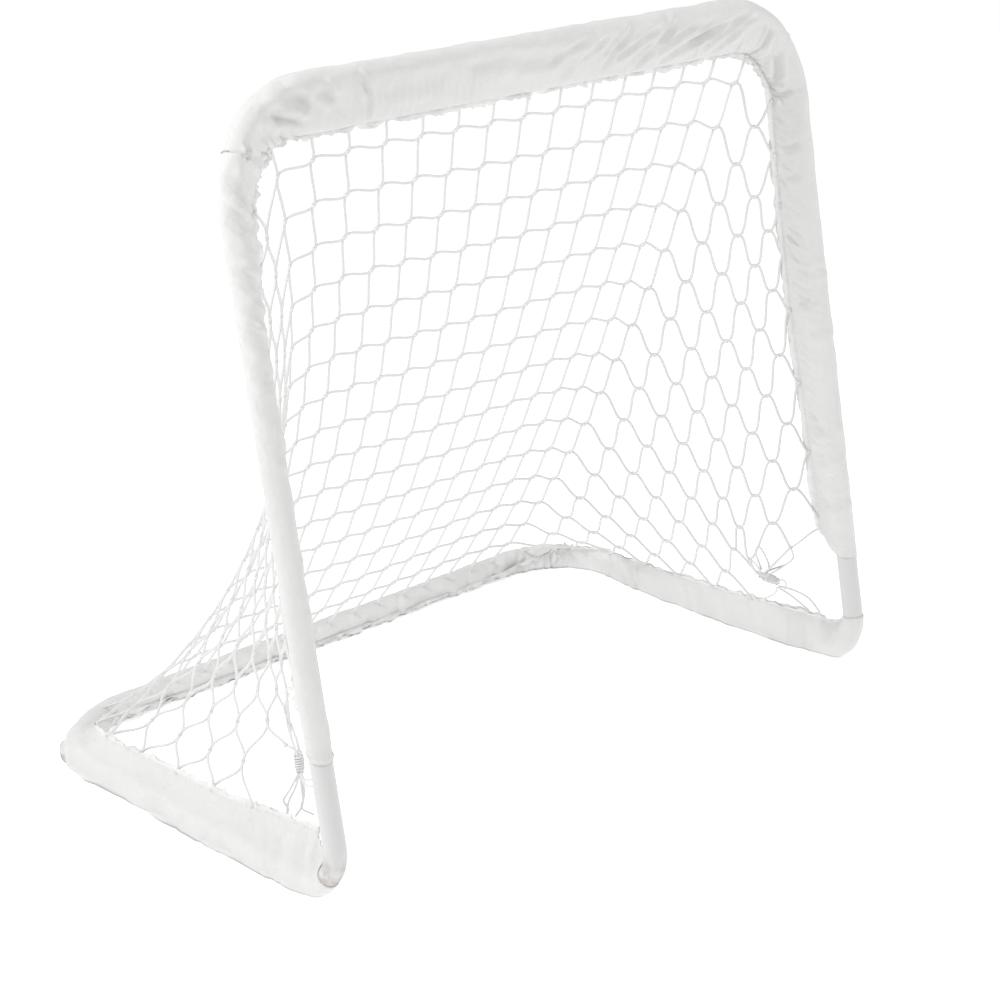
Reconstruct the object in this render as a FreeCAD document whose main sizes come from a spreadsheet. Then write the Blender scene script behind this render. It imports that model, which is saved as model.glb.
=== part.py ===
"""Portable hockey goal net: a leaning bent-tube hoop on a U-shaped base, with fabric sleeves and a net.

The frame stands on the floor with its mouth towards -Y and its back bar towards +Y. The origin is on
the floor, in the middle of the outline. Four tubes plug together with swaged joints: each joint is a
reduced spigot inside the next tube, held by a spring button that stands through both walls. Six loose
fabric sleeves cover the tubes, and the net hangs between the sleeves' hems as eight panels: flat at
the sides, and bowed towards the mouth at the back.
"""
import FreeCAD, Part
import Sketcher
import math
import os

from FreeCAD import Placement, Rotation, Vector

# Driving sizes in millimetres and degrees: alias, value, meaning
SIZES = [
    ("width_centres", 889.0, "between the post axes"),
    ("rise", 825.0, "from base tube axis up to crossbar axis"),
    ("lean_back", 163.6, "how far the crossbar axis stands behind the posts' feet"),
    ("depth", 546.0, "from the posts' feet to the back bar axis"),
    ("tube_radius", 12.7, "outside of every tube"),
    ("tube_wall", 1.2, "tube wall"),
    ("top_bend", 112.0, "centre-line radius of the two top corners"),
    ("rear_bend", 112.0, "centre-line radius of the two rear base corners"),
    ("elbow_bend", 44.0, "centre-line radius of the elbows at the posts' feet"),
    ("spigot_length", 75.0, "reduced end inside the next tube"),
    ("spigot_play", 0.15, "radial clearance round a spigot"),
    ("neck_length", 4.0, "taper from tube to spigot"),
    ("post_joint_height", 175.0, "along the post, from its foot to the hoop tube's end"),
    ("fabric", 1.2, "sleeve cloth"),
    ("fabric_play", 0.3, "between tube and sleeve"),
    ("hem_radius", 1.25, "half the thickness of a sewn hem"),
    ("hem_seam", 6.0, "width of the sewn part of a hem"),
    ("crossbar_reach", 53.0, "from tube axis to the crossbar hem"),
    ("post_reach", 42.0, "from tube axis to a post hem"),
    ("leg_reach", 40.0, "from tube axis to a leg hem"),
    ("back_reach", 26.0, "from tube axis to the back bar hem"),
    ("post_hem_angle", 40.0, "post hem, turned back from the mouth plane"),
    ("leg_hem_angle", 68.0, "leg hem, up from the floor"),
    ("floor_spread", 24.0, "loose cloth on the floor outside a leg, from the tube axis"),
    ("floor_fold", 4.5, "radius of that fold"),
    ("post_sleeve_end", 148.0, "along the post, from its foot to the sleeve's open end"),
    ("leg_sleeve_start", 58.0, "from the post's foot back to the leg sleeve's open end"),
    ("sleeve_parting", 0.2, "angle in degrees left between sleeves that meet in a corner"),
    ("waist_half", 283.0, "half the net's width at its fold"),
    ("waist_depth", 296.0, "from the posts' feet back to the net's fold"),
    ("waist_rise", 380.0, "from base tube axis up to the net's fold"),
    ("net_top_half", 374.0, "half the net's width at the crossbar"),
    ("net_corner_drop", 40.0, "how far the back's top corners are cut down, clear of the sleeve's bends"),
    ("net_foot_half", 285.0, "half the net's width at the back bar"),
    ("post_net_top", 735.0, "along the post, where the side net starts"),
    ("leg_net_back", 425.0, "from the post's foot, where the side net ends"),
    ("leg_net_front", 104.0, "from the post's foot, where the side net starts"),
    ("twine", 2.4, "net cord"),
    ("net_gap", 0.3, "between the net and a hem"),
    ("net_first_row", 31.0, "height of the meshes next to the crossbar"),
    ("upper_sag", 7.5, "how far the back's upper panel bows towards the mouth at its middle"),
    ("lower_sag", 15.0, "how far the back's lower panel bows towards the mouth at its middle"),
    ("fold_gap", 0.8, "kept clear at the net's fold, each side"),
    ("side_gap", 1.5, "kept clear at the net's other folds, each side"),
    ("back_columns", 14, "meshes across the back"),
    ("rear_columns", 3, "meshes along the hem at each rear corner"),
    ("half_rows", 8, "meshes from crossbar to fold, and from fold to back bar"),
    ("gather_top", 78.0, "along the side fold, from its foot to the gathered corner"),
    ("gather_length", 36.0, "length of the gathered corner"),
    ("gather_radius", 8.0, "its wide end"),
    ("gather_waist", 4.5, "its tied end"),
    ("knot_radius", 6.0, "the knot there"),
    ("button_radius", 3.5, "spring button"),
    ("button_proud", 2.6, "how far it stands out of the tube"),
    ("button_inset", 22.0, "from the spigot's open end"),
    ("hole_radius", 4.2, "button hole in both walls"),
    ("strip_width", 8.0, "leaf spring"),
    ("strip_gauge", 0.8, "leaf spring"),
    ("strip_height", 8.6, "from tube axis to the middle of each leaf"),
    ("strip_nose", 5.5, "leaf beyond the button's axis"),
    ("arm_length", 30.0, "from the button's axis to where the leaf flexes"),
    ("arm_root", 6.0, "from there to the leaf's bend"),
    ("arm_gap", 0.2, "between the flexing leaf and its root"),
    ("rivet_radius", 1.6, "button's rivet"),
    ("rivet_play", 0.1, "round the rivet"),
    ("rivet_head", 2.6, "radius of the rivet's head"),
    ("rivet_head_height", 0.8, "height of the rivet's head"),
]

doc = FreeCAD.newDocument("goal_net")
sheet = doc.addObject("Spreadsheet::Sheet", "sizes")
for row, (alias, value, meaning) in enumerate(SIZES, start=1):
    sheet.set(f"A{row}", alias)
    sheet.set(f"B{row}", str(value))
    sheet.set(f"C{row}", meaning)
    sheet.setAlias(f"B{row}", alias)
doc.recompute()

# Lengths and angles worked out from the driving sizes, as expressions
SLANT = "sqrt(sizes.rise^2 + sizes.lean_back^2)"
LEAN = "atan2(sizes.lean_back; sizes.rise)"
TURN = f"(90 + {LEAN} / 1deg) * 1deg"
ELBOW_RUN = f"sizes.elbow_bend * tan({TURN} / 2)"
BORE = "(sizes.tube_radius - sizes.tube_wall)"
SPIGOT = f"({BORE} - sizes.spigot_play)"
SPIGOT_BORE = f"({SPIGOT} - sizes.tube_wall)"
SLEEVE_BORE = "(sizes.tube_radius + sizes.fabric_play)"
SLEEVE_OUTSIDE = f"({SLEEVE_BORE} + sizes.fabric)"
HALF_WIDTH = "(sizes.width_centres / 2)"
HALF_TURN = "(45 - sizes.sleeve_parting) * 1deg"
WAIST_BEHIND = "(sizes.waist_depth - sizes.lean_back)"
WAIST_BELOW = "(sizes.rise - sizes.waist_rise)"
UPPER_RUN = f"sqrt({WAIST_BEHIND}^2 + {WAIST_BELOW}^2)"
LOWER_RUN = "sqrt((sizes.depth - sizes.waist_depth)^2 + sizes.waist_rise^2)"
BUTTON_BACK = "(sizes.spigot_length - sizes.button_inset)"
FRONT_EDGE = f"({ELBOW_RUN} - sizes.elbow_bend - sizes.tube_radius)"
REAR_EDGE = f"(sizes.depth + {SLEEVE_OUTSIDE})"

# Directions from a tube's axis to its hem: in the hoop's own plane frame for the hoop, flat for the base
CROSS_ACROSS = f"({WAIST_BEHIND} * cos({LEAN}) + {WAIST_BELOW} * sin({LEAN})) / {UPPER_RUN}"
CROSS_UP = f"({WAIST_BEHIND} * sin({LEAN}) - {WAIST_BELOW} * cos({LEAN})) / {UPPER_RUN}"
BACK_ACROSS = f"-(sizes.depth - sizes.waist_depth) / {LOWER_RUN}"
BACK_UP = f"sizes.waist_rise / {LOWER_RUN}"
POST_TURN = "(sizes.post_hem_angle * 1deg)"
LEG_TURN = "(sizes.leg_hem_angle * 1deg)"

# A sleeve's section: outside and inside of the cloth round the tube, and the hem's rounding inside
SLEEVE_RING = "sizes.fabric_play + sizes.tube_radius + sizes.fabric"
LINING_RING = "sizes.fabric_play + sizes.tube_radius"
LINING_TIP = "sizes.hem_radius * 0.6"

BELT_STEPS = 1440  # directions tried round a belt's outline
SMALLEST_MESH = 8.0  # least area of a mesh that is cut, in twine widths squared


def size(expression):
    """The value of an expression of the driving sizes, in millimetres or degrees."""
    result = sheet.evalExpression(expression)
    return float(getattr(result, "Value", result))


def named(alias):
    """The value of one driving size."""
    return size(f"sizes.{alias}")


def direction(vector):
    """A unit vector."""
    return Vector(vector).normalize()


def frame(origin, x_axis, z_axis):
    """A placement with its X and Z axes along the two given directions."""
    z_unit = direction(z_axis)
    x_unit = direction(x_axis)
    return Placement(Vector(origin), Rotation(x_unit, z_unit.cross(x_unit), z_unit, "ZXY"))


FLOOR_LIFT = size(SLEEVE_OUTSIDE)
MOUTH_Y = -(size(FRONT_EDGE) + size(REAR_EDGE)) / 2
BASE = Placement(Vector(0, MOUTH_Y, FLOOR_LIFT), Rotation())
HOOP = BASE * Placement(Vector(), Rotation(Vector(1, 0, 0), -size(LEAN)))


def add(kind, name, **bindings):
    """A new object whose properties follow the sheet."""
    item = doc.addObject(kind, name)
    for prop, expression in bindings.items():
        item.setExpression(prop, expression)
    return item


def sketch_in(body, name, role, offset="0"):
    """A sketch on one of the body's own origin planes, moved along the plane's normal."""
    sketch = body.newObject("Sketcher::SketchObject", name)
    plane = [part for part in body.Origin.OriginFeatures if part.Role == role][0]
    sketch.AttachmentSupport = [(plane, "")]
    sketch.MapMode = "FlatFace"
    sketch.setExpression("AttachmentOffset.Base.z", offset)
    return sketch


def bind(sketch, kind, *where):
    """Add a dimension to a sketch; the last argument is its expression."""
    *places, expression = where
    index = sketch.addConstraint(Sketcher.Constraint(kind, *places, size(expression)))
    sketch.setExpression(f"Constraints[{index}]", expression)


def pin_point(sketch, item, vertex, x_expression, y_expression):
    """Hold one vertex of a sketch at two coordinates."""
    bind(sketch, "DistanceX", -1, 1, item, vertex, x_expression)
    bind(sketch, "DistanceY", -1, 1, item, vertex, y_expression)


def circle(sketch, x_expression, y_expression, radius_expression):
    """A circle held by its centre and radius."""
    centre = Vector(size(x_expression), size(y_expression), 0)
    item = sketch.addGeometry(Part.Circle(centre, Vector(0, 0, 1), size(radius_expression)), False)
    pin_point(sketch, item, 3, x_expression, y_expression)
    bind(sketch, "Radius", item, radius_expression)


def tube_profile(sketch, x_expression, y_expression):
    """The tube's ring section."""
    circle(sketch, x_expression, y_expression, "sizes.tube_radius")
    circle(sketch, x_expression, y_expression, BORE)


def arc_ends(sketch, arc, near_point):
    """An arc's two vertex numbers, the one at the given point first."""
    gaps = [(sketch.getPoint(arc, vertex) - near_point).Length for vertex in (1, 2)]
    return (1, 2) if gaps[0] < gaps[1] else (2, 1)


def run_and_bend(sketch, start, run_end, heading, towards, radius):
    """A straight run that ends in most of half a corner, where the next sleeve takes over.

    start and run_end are pairs of expressions, heading is "x" or "y", and towards is +1 or -1, the way
    the corner turns along the other axis.
    """
    first = Vector(size(start[0]), size(start[1]), 0)
    last = Vector(size(run_end[0]), size(run_end[1]), 0)
    along = direction(last - first)
    side = Vector(0, towards, 0) if heading == "x" else Vector(towards, 0, 0)
    bend, angle = size(radius), math.radians(size(HALF_TURN))
    centre = last + side * bend
    middle = centre - side * bend * math.cos(angle / 2) + along * bend * math.sin(angle / 2)
    far = centre - side * bend * math.cos(angle) + along * bend * math.sin(angle)
    run = sketch.addGeometry(Part.LineSegment(first, last), False)
    arc = sketch.addGeometry(Part.Arc(last, middle, far), False)
    near_end, far_end = arc_ends(sketch, arc, last)
    sketch.addConstraint(Sketcher.Constraint("Horizontal" if heading == "x" else "Vertical", run))
    sketch.addConstraint(Sketcher.Constraint("Tangent", run, 2, arc, near_end))
    pin_point(sketch, run, 1, *start)
    bind(sketch, "Radius", arc, radius)
    drop = f"{towards} * {radius} * (1 - cos({HALF_TURN}))"
    if heading == "x":
        bind(sketch, "DistanceX", -1, 1, run, 2, run_end[0])
        bind(sketch, "DistanceY", -1, 1, arc, far_end, f"{start[1]} + {drop}")
    else:
        bind(sketch, "DistanceY", -1, 1, run, 2, run_end[1])
        bind(sketch, "DistanceX", -1, 1, arc, far_end, f"{start[0]} + {drop}")


def pipe(body, name, profile, path):
    """Sweep a profile along a path."""
    feature = body.newObject("PartDesign::AdditivePipe", name)
    feature.Profile = profile
    feature.Spine = (path, [])
    return feature


def tube_bend(body, name, role, start, corner, end, radius):
    """A tube's line from start, level to one square corner and round it to end, in one origin plane."""
    path = sketch_in(body, f"{name}_path", role)
    first = [Vector(size(p[0]), size(p[1]), 0) for p in (start, corner, end)]
    into, out = direction(first[1] - first[0]), direction(first[2] - first[1])
    bend = size(radius)
    run_end, run_start = first[1] - into * bend, first[1] + out * bend
    middle = first[1] + (out - into) * bend * (1 - math.sqrt(0.5))
    run = path.addGeometry(Part.LineSegment(first[0], run_end), False)
    arc = path.addGeometry(Part.Arc(run_end, middle, run_start), False)
    rest = path.addGeometry(Part.LineSegment(run_start, first[2]), False)
    near, far = arc_ends(path, arc, run_end)
    path.addConstraint(Sketcher.Constraint("Horizontal", run))
    path.addConstraint(Sketcher.Constraint("Vertical", rest))
    path.addConstraint(Sketcher.Constraint("Tangent", run, 2, arc, near))
    path.addConstraint(Sketcher.Constraint("Tangent", arc, far, rest, 1))
    pin_point(path, run, 1, *start)
    pin_point(path, rest, 2, *end)
    bind(path, "Radius", arc, radius)
    return path


def spigot_wall(name, place):
    """A taper and a reduced end that fit inside the next tube, along Z from the full tube's end."""
    pieces = []
    past_neck = place * Placement(Vector(0, 0, named("neck_length")), Rotation())
    heights = {"neck": ("sizes.neck_length", place), "end": ("sizes.spigot_length", past_neck)}
    for part, (height, where) in heights.items():
        shells = []
        for skin, wide, narrow in (("out", "sizes.tube_radius", SPIGOT), ("in", BORE, SPIGOT_BORE)):
            if part == "neck":
                solid = add("Part::Cone", f"{name}_{part}_{skin}", Radius1=wide, Radius2=narrow,
                            Height=height)
            else:
                solid = add("Part::Cylinder", f"{name}_{part}_{skin}", Radius=narrow, Height=height)
            solid.Placement = where
            shells.append(solid)
        wall = doc.addObject("Part::Cut", f"{name}_{part}")
        wall.Base, wall.Tool = shells
        pieces.append(wall)
    return pieces


def button_hole(name, seat):
    """The tool that drills one wall for the button, along the seat's Z axis."""
    drill = add("Part::Cylinder", name, Radius="sizes.hole_radius", Height="2 * sizes.tube_radius")
    drill.Placement = seat
    return drill


def finished_tube(label, parts, drills, place):
    """Join a tube's parts, drill its button holes and put it in its place."""
    whole = parts[0]
    if len(parts) > 1:
        whole = doc.addObject("Part::MultiFuse", f"{label}_joined")
        whole.Shapes = parts
        whole.Refine = True
    for number, drill in enumerate(drills):
        cut = doc.addObject("Part::Cut", f"{label}_drilled_{number}")
        cut.Base, cut.Tool = whole, drill
        whole = cut
    whole.Label = label
    whole.Placement = place
    return whole


def belt(sketch, circles):
    """A closed outline round several circles, each (x, y, radius) in expressions.

    The outline is the circles' convex hull: arcs joined by the straight lines that touch both.
    """
    rounds = [(size(x), size(y), size(radius)) for x, y, radius in circles]
    order = []
    for step in range(BELT_STEPS):
        angle = 2 * math.pi * step / BELT_STEPS
        reach = [x * math.cos(angle) + y * math.sin(angle) + radius for x, y, radius in rounds]
        outermost = reach.index(max(reach))
        if not order or order[-1] != outermost:
            order.append(outermost)
    if order[0] == order[-1]:
        order.pop()
    count = len(order)
    touch = []
    for here, there in zip(order, order[1:] + order[:1]):
        (x0, y0, r0), (x1, y1, r1) = rounds[here], rounds[there]
        gap = math.hypot(x1 - x0, y1 - y0)
        angle = math.atan2(y1 - y0, x1 - x0) - math.acos((r0 - r1) / gap)
        unit = Vector(math.cos(angle), math.sin(angle), 0)
        touch.append((Vector(x0, y0, 0) + unit * r0, Vector(x1, y1, 0) + unit * r1))
    arcs, lines = [], []
    for number, which in enumerate(order):
        x, y, radius = rounds[which]
        begin, end = touch[number - 1][1], touch[number][0]
        centre = Vector(x, y, 0)
        first = math.atan2(begin.y - y, begin.x - x)
        last = math.atan2(end.y - y, end.x - x)
        round_edge = Part.ArcOfCircle(Part.Circle(centre, Vector(0, 0, 1), radius), first, last)
        arcs.append(sketch.addGeometry(round_edge, False))
        lines.append(sketch.addGeometry(Part.LineSegment(*touch[number]), False))
    for number, which in enumerate(order):
        x, y, radius = circles[which]
        pin_point(sketch, arcs[number], 3, x, y)
        bind(sketch, "Radius", arcs[number], radius)
        sketch.addConstraint(Sketcher.Constraint("Tangent", arcs[number], 2, lines[number], 1))
        follower = arcs[(number + 1) % count]
        sketch.addConstraint(Sketcher.Constraint("Tangent", lines[number], 2, follower, 1))


def sleeve_profile(sketch, x, y, tip, fold=None):
    """A loose sleeve's section: cloth round the tube, drawn out to its sewn hem.

    tip is the hem's direction as a pair of factors of its reach, and fold the loose fold on the floor.
    """
    reach, across, up = tip
    for ring, tip_radius, shorter, thinner in ((SLEEVE_RING, "sizes.hem_radius", "0", "0"),
                                               (LINING_RING, LINING_TIP, "sizes.hem_seam", "sizes.fabric")):
        length = f"({reach} - sizes.hem_radius - {shorter})"
        circles = [(x, y, ring), (f"{x} + {length} * {across}", f"{y} + {length} * {up}", tip_radius)]
        if fold:
            circles.append((f"{x} + {fold[0]}", f"{y} + {fold[1]}", f"sizes.floor_fold - {thinner}"))
        belt(sketch, circles)


def mirrored(body, feature, role):
    """Mirror a body's feature in one of its own origin planes."""
    copy = body.newObject("PartDesign::Mirrored", f"{body.Name}_mirror")
    copy.Originals = [feature]
    plane = [part for part in body.Origin.OriginFeatures if part.Role == role][0]
    copy.MirrorPlane = (plane, [""])
    body.Tip = copy
    return copy


def hoop_tube(side):
    """One half of the hoop: half the crossbar, a top corner and a post."""
    word = "left" if side < 0 else "right"
    label = f"hoop_tube_{word}"
    body = doc.addObject("PartDesign::Body", f"{label}_pipe")
    start = "0" if side < 0 else "sizes.neck_length"
    profile = sketch_in(body, f"{label}_ring", "YZ_Plane", start)
    tube_profile(profile, "0", SLANT)
    post_x = f"{side} * {HALF_WIDTH}"
    path = tube_bend(body, label, "XZ_Plane", (start, SLANT), (post_x, SLANT),
                     (post_x, "sizes.post_joint_height"), "sizes.top_bend")
    pipe(body, f"{label}_sweep", profile, path)
    parts = [body]
    if side > 0:
        end = Vector(named("neck_length"), 0, size(SLANT))
        parts += spigot_wall(label, frame(end, (0, 1, 0), (-1, 0, 0)))
    drills = [button_hole(f"{label}_crossbar_drill", CROSSBAR_SEAT),
              button_hole(f"{label}_post_drill", POST_SEAT[side])]
    return finished_tube(label, parts, drills, HOOP)


def base_tube(side):
    """One half of the base: half the back bar, a rear corner, a leg, and the elbow with its stub."""
    word = "left" if side < 0 else "right"
    label = f"base_tube_{word}"
    body = doc.addObject("PartDesign::Body", f"{label}_pipe")
    start = "0" if side < 0 else "sizes.neck_length"
    leg_x = f"{side} * {HALF_WIDTH}"
    profile = sketch_in(body, f"{label}_ring", "YZ_Plane", start)
    tube_profile(profile, "sizes.depth", "0")
    path = tube_bend(body, label, "XY_Plane", (start, "sizes.depth"), (leg_x, "sizes.depth"),
                     (leg_x, ELBOW_RUN), "sizes.rear_bend")
    pipe(body, f"{label}_sweep", profile, path)
    ring = sketch_in(body, f"{label}_elbow_ring", "XZ_Plane", f"-{ELBOW_RUN}")
    tube_profile(ring, leg_x, "0")
    stub = "(sizes.post_joint_height - sizes.neck_length)"
    rise = sketch_in(body, f"{label}_elbow_path", "YZ_Plane", leg_x)
    turn, bend, run = math.radians(size(TURN)), named("elbow_bend"), size(ELBOW_RUN)
    centre = Vector(run, bend, 0)
    foot, tip = Vector(run, 0, 0), Vector(size(f"{stub} * sin({LEAN})"), size(f"{stub} * cos({LEAN})"), 0)
    middle = centre - Vector(math.sin(turn / 2), math.cos(turn / 2), 0) * bend
    arc_end = centre - Vector(math.sin(turn), math.cos(turn), 0) * bend
    arc = rise.addGeometry(Part.Arc(foot, middle, arc_end), False)
    post = rise.addGeometry(Part.LineSegment(arc_end, tip), False)
    near, far = arc_ends(rise, arc, foot)
    pin_point(rise, arc, near, ELBOW_RUN, "0")
    bind(rise, "DistanceX", -1, 1, arc, 3, ELBOW_RUN)
    bind(rise, "Radius", arc, "sizes.elbow_bend")
    rise.addConstraint(Sketcher.Constraint("Tangent", arc, far, post, 1))
    pin_point(rise, post, 2, f"{stub} * sin({LEAN})", f"{stub} * cos({LEAN})")
    pipe(body, f"{label}_elbow", ring, rise)
    lean = Rotation(Vector(1, 0, 0), -size(LEAN))
    top = Placement(Vector(size(leg_x), 0, 0), lean) * Placement(Vector(0, 0, size(stub)), Rotation())
    parts = [body] + spigot_wall(f"{label}_stub", top)
    if side > 0:
        end = Vector(named("neck_length"), named("depth"), 0)
        parts += spigot_wall(f"{label}_bar", frame(end, (0, 1, 0), (-1, 0, 0)))
    tilt = Placement(Vector(), lean)
    drills = [button_hole(f"{label}_bar_drill", BACK_SEAT),
              button_hole(f"{label}_post_drill", tilt * POST_SEAT[side])]
    return finished_tube(label, parts, drills, BASE)


def post_hem(side):
    """The post hem's direction, level in the hoop's frame."""
    angle = math.radians(named("post_hem_angle"))
    return Vector(-side * math.cos(angle), math.sin(angle), 0)


def leg_hem(side):
    """The leg hem's direction, in the base's frame."""
    angle = math.radians(named("leg_hem_angle"))
    return Vector(-side * math.cos(angle), 0, math.sin(angle))


UPPER = Vector(0, size(WAIST_BEHIND), -size(WAIST_BELOW))
CROSS_HEM = Vector(0, size(CROSS_ACROSS), size(CROSS_UP))
BACK_HEM = Vector(0, size(BACK_ACROSS), size(BACK_UP))
CROSSBAR_SEAT = frame(Vector(-size(BUTTON_BACK), 0, size(SLANT)), (-1, 0, 0), CROSS_HEM)
BACK_SEAT = frame(Vector(-size(BUTTON_BACK), named("depth"), 0), (-1, 0, 0), BACK_HEM)
POST_BUTTON = named("post_joint_height") + size(BUTTON_BACK)
POST_SEAT = {side: frame(Vector(side * size(HALF_WIDTH), 0, POST_BUTTON), (0, 0, 1), post_hem(side))
             for side in (-1, 1)}


def crossing_sleeve(label, path_role, place, level, towards, radius, tip):
    """The crossbar's or the back bar's sleeve: half of it, mirrored at the middle."""
    body = doc.addObject("PartDesign::Body", label)
    profile = sketch_in(body, f"{label}_section", "YZ_Plane")
    if path_role == "XZ_Plane":
        sleeve_profile(profile, "0", level, tip)
    else:
        sleeve_profile(profile, level, "0", tip)
    path = sketch_in(body, f"{label}_path", path_role)
    run_and_bend(path, ("0", level), (f"{HALF_WIDTH} - {radius}", level), "x", towards, radius)
    half = pipe(body, f"{label}_sweep", profile, path)
    doc.recompute()
    mirrored(body, half, "YZ_Plane")
    body.Label = label
    body.Placement = place
    return body


def post_sleeve(side):
    """A post's sleeve, from its open end above the elbow to the middle of the top corner."""
    label = f"sleeve_post_{'left' if side < 0 else 'right'}"
    body = doc.addObject("PartDesign::Body", label)
    post_x = f"{side} * {HALF_WIDTH}"
    profile = sketch_in(body, f"{label}_section", "XY_Plane", "sizes.post_sleeve_end")
    tip = ("sizes.post_reach", f"{-side} * cos({POST_TURN})", f"sin({POST_TURN})")
    sleeve_profile(profile, post_x, "0", tip)
    path = sketch_in(body, f"{label}_path", "XZ_Plane")
    run_and_bend(path, (post_x, "sizes.post_sleeve_end"), (post_x, f"{SLANT} - sizes.top_bend"), "y",
                 -side, "sizes.top_bend")
    pipe(body, f"{label}_sweep", profile, path)
    body.Label = label
    body.Placement = HOOP
    return body


def leg_sleeve(side):
    """A leg's sleeve, from its open end behind the elbow to the middle of the rear corner."""
    label = f"sleeve_leg_{'left' if side < 0 else 'right'}"
    body = doc.addObject("PartDesign::Body", label)
    leg_x = f"{side} * {HALF_WIDTH}"
    profile = sketch_in(body, f"{label}_section", "XZ_Plane", "-sizes.leg_sleeve_start")
    tip = ("sizes.leg_reach", f"{-side} * cos({LEG_TURN})", f"sin({LEG_TURN})")
    fold = (f"{side} * (sizes.floor_spread - sizes.floor_fold)", f"sizes.floor_fold - {SLEEVE_OUTSIDE}")
    sleeve_profile(profile, leg_x, "0", tip, fold)
    path = sketch_in(body, f"{label}_path", "XY_Plane")
    run_and_bend(path, (leg_x, "sizes.leg_sleeve_start"), (leg_x, "sizes.depth - sizes.rear_bend"), "y",
                 -side, "sizes.rear_bend")
    pipe(body, f"{label}_sweep", profile, path)
    body.Label = label
    body.Placement = BASE
    return body


def snap_button(label, seat):
    """A domed button with the rivet that holds it on its leaf."""
    body = doc.addObject("PartDesign::Body", label)
    section = sketch_in(body, f"{label}_section", "XZ_Plane")
    top = "sizes.strip_height + sizes.strip_gauge / 2"
    under = "sizes.strip_height - sizes.strip_gauge / 2"
    tip = "sizes.tube_radius + sizes.button_proud"
    shoulder = f"{tip} - sizes.button_radius"
    head = f"{under} - sizes.rivet_head_height"
    corners = [("0", head), ("sizes.rivet_head", head), ("sizes.rivet_head", under),
               ("sizes.rivet_radius", under), ("sizes.rivet_radius", top), ("sizes.button_radius", top),
               ("sizes.button_radius", shoulder)]
    points = [Vector(size(x), size(y), 0) for x, y in corners]
    crown = Vector(0, size(tip), 0)
    lines = [section.addGeometry(Part.LineSegment(a, b), False) for a, b in zip(points, points[1:])]
    for number, line in enumerate(lines):
        pin_point(section, line, 1, *corners[number])
        if number:
            section.addConstraint(Sketcher.Constraint("Coincident", lines[number - 1], 2, line, 1))
    pin_point(section, lines[-1], 2, *corners[-1])
    centre = Vector(0, size(shoulder), 0)
    rounded = Part.ArcOfCircle(Part.Circle(centre, Vector(0, 0, 1), named("button_radius")), 0, math.pi / 2)
    dome = section.addGeometry(rounded, False)
    axis = section.addGeometry(Part.LineSegment(crown, points[0]), False)
    section.addConstraint(Sketcher.Constraint("Coincident", dome, 1, lines[-1], 2))
    section.addConstraint(Sketcher.Constraint("Coincident", dome, 2, axis, 1))
    section.addConstraint(Sketcher.Constraint("Coincident", axis, 2, lines[0], 1))
    pin_point(section, dome, 3, "0", shoulder)
    bind(section, "DistanceX", -1, 1, axis, 1, "0")
    turned = body.newObject("PartDesign::Revolution", f"{label}_turned")
    turned.Profile = section
    turned.ReferenceAxis = (section, ["V_Axis"])
    body.Label = label
    body.Placement = seat
    return body


def button_arm(label, seat):
    """The leaf that carries the button and flexes at its root."""
    half = "sizes.strip_width / 2"
    leaf = add("Part::Box", f"{label}_leaf", Length="sizes.arm_length + sizes.strip_nose",
               Width="sizes.strip_width", Height="sizes.strip_gauge")
    leaf.setExpression("Placement.Base.x", "-sizes.arm_length")
    leaf.setExpression("Placement.Base.y", f"-{half}")
    leaf.setExpression("Placement.Base.z", "sizes.strip_height - sizes.strip_gauge / 2")
    hole = add("Part::Cylinder", f"{label}_hole", Radius="sizes.rivet_radius + sizes.rivet_play",
               Height="3 * sizes.strip_gauge")
    hole.setExpression("Placement.Base.z", "sizes.strip_height - 1.5 * sizes.strip_gauge")
    pierced = doc.addObject("Part::Cut", f"{label}_pierced")
    pierced.Base, pierced.Tool = leaf, hole
    pierced.Label = label
    pierced.Placement = seat
    return pierced


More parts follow.
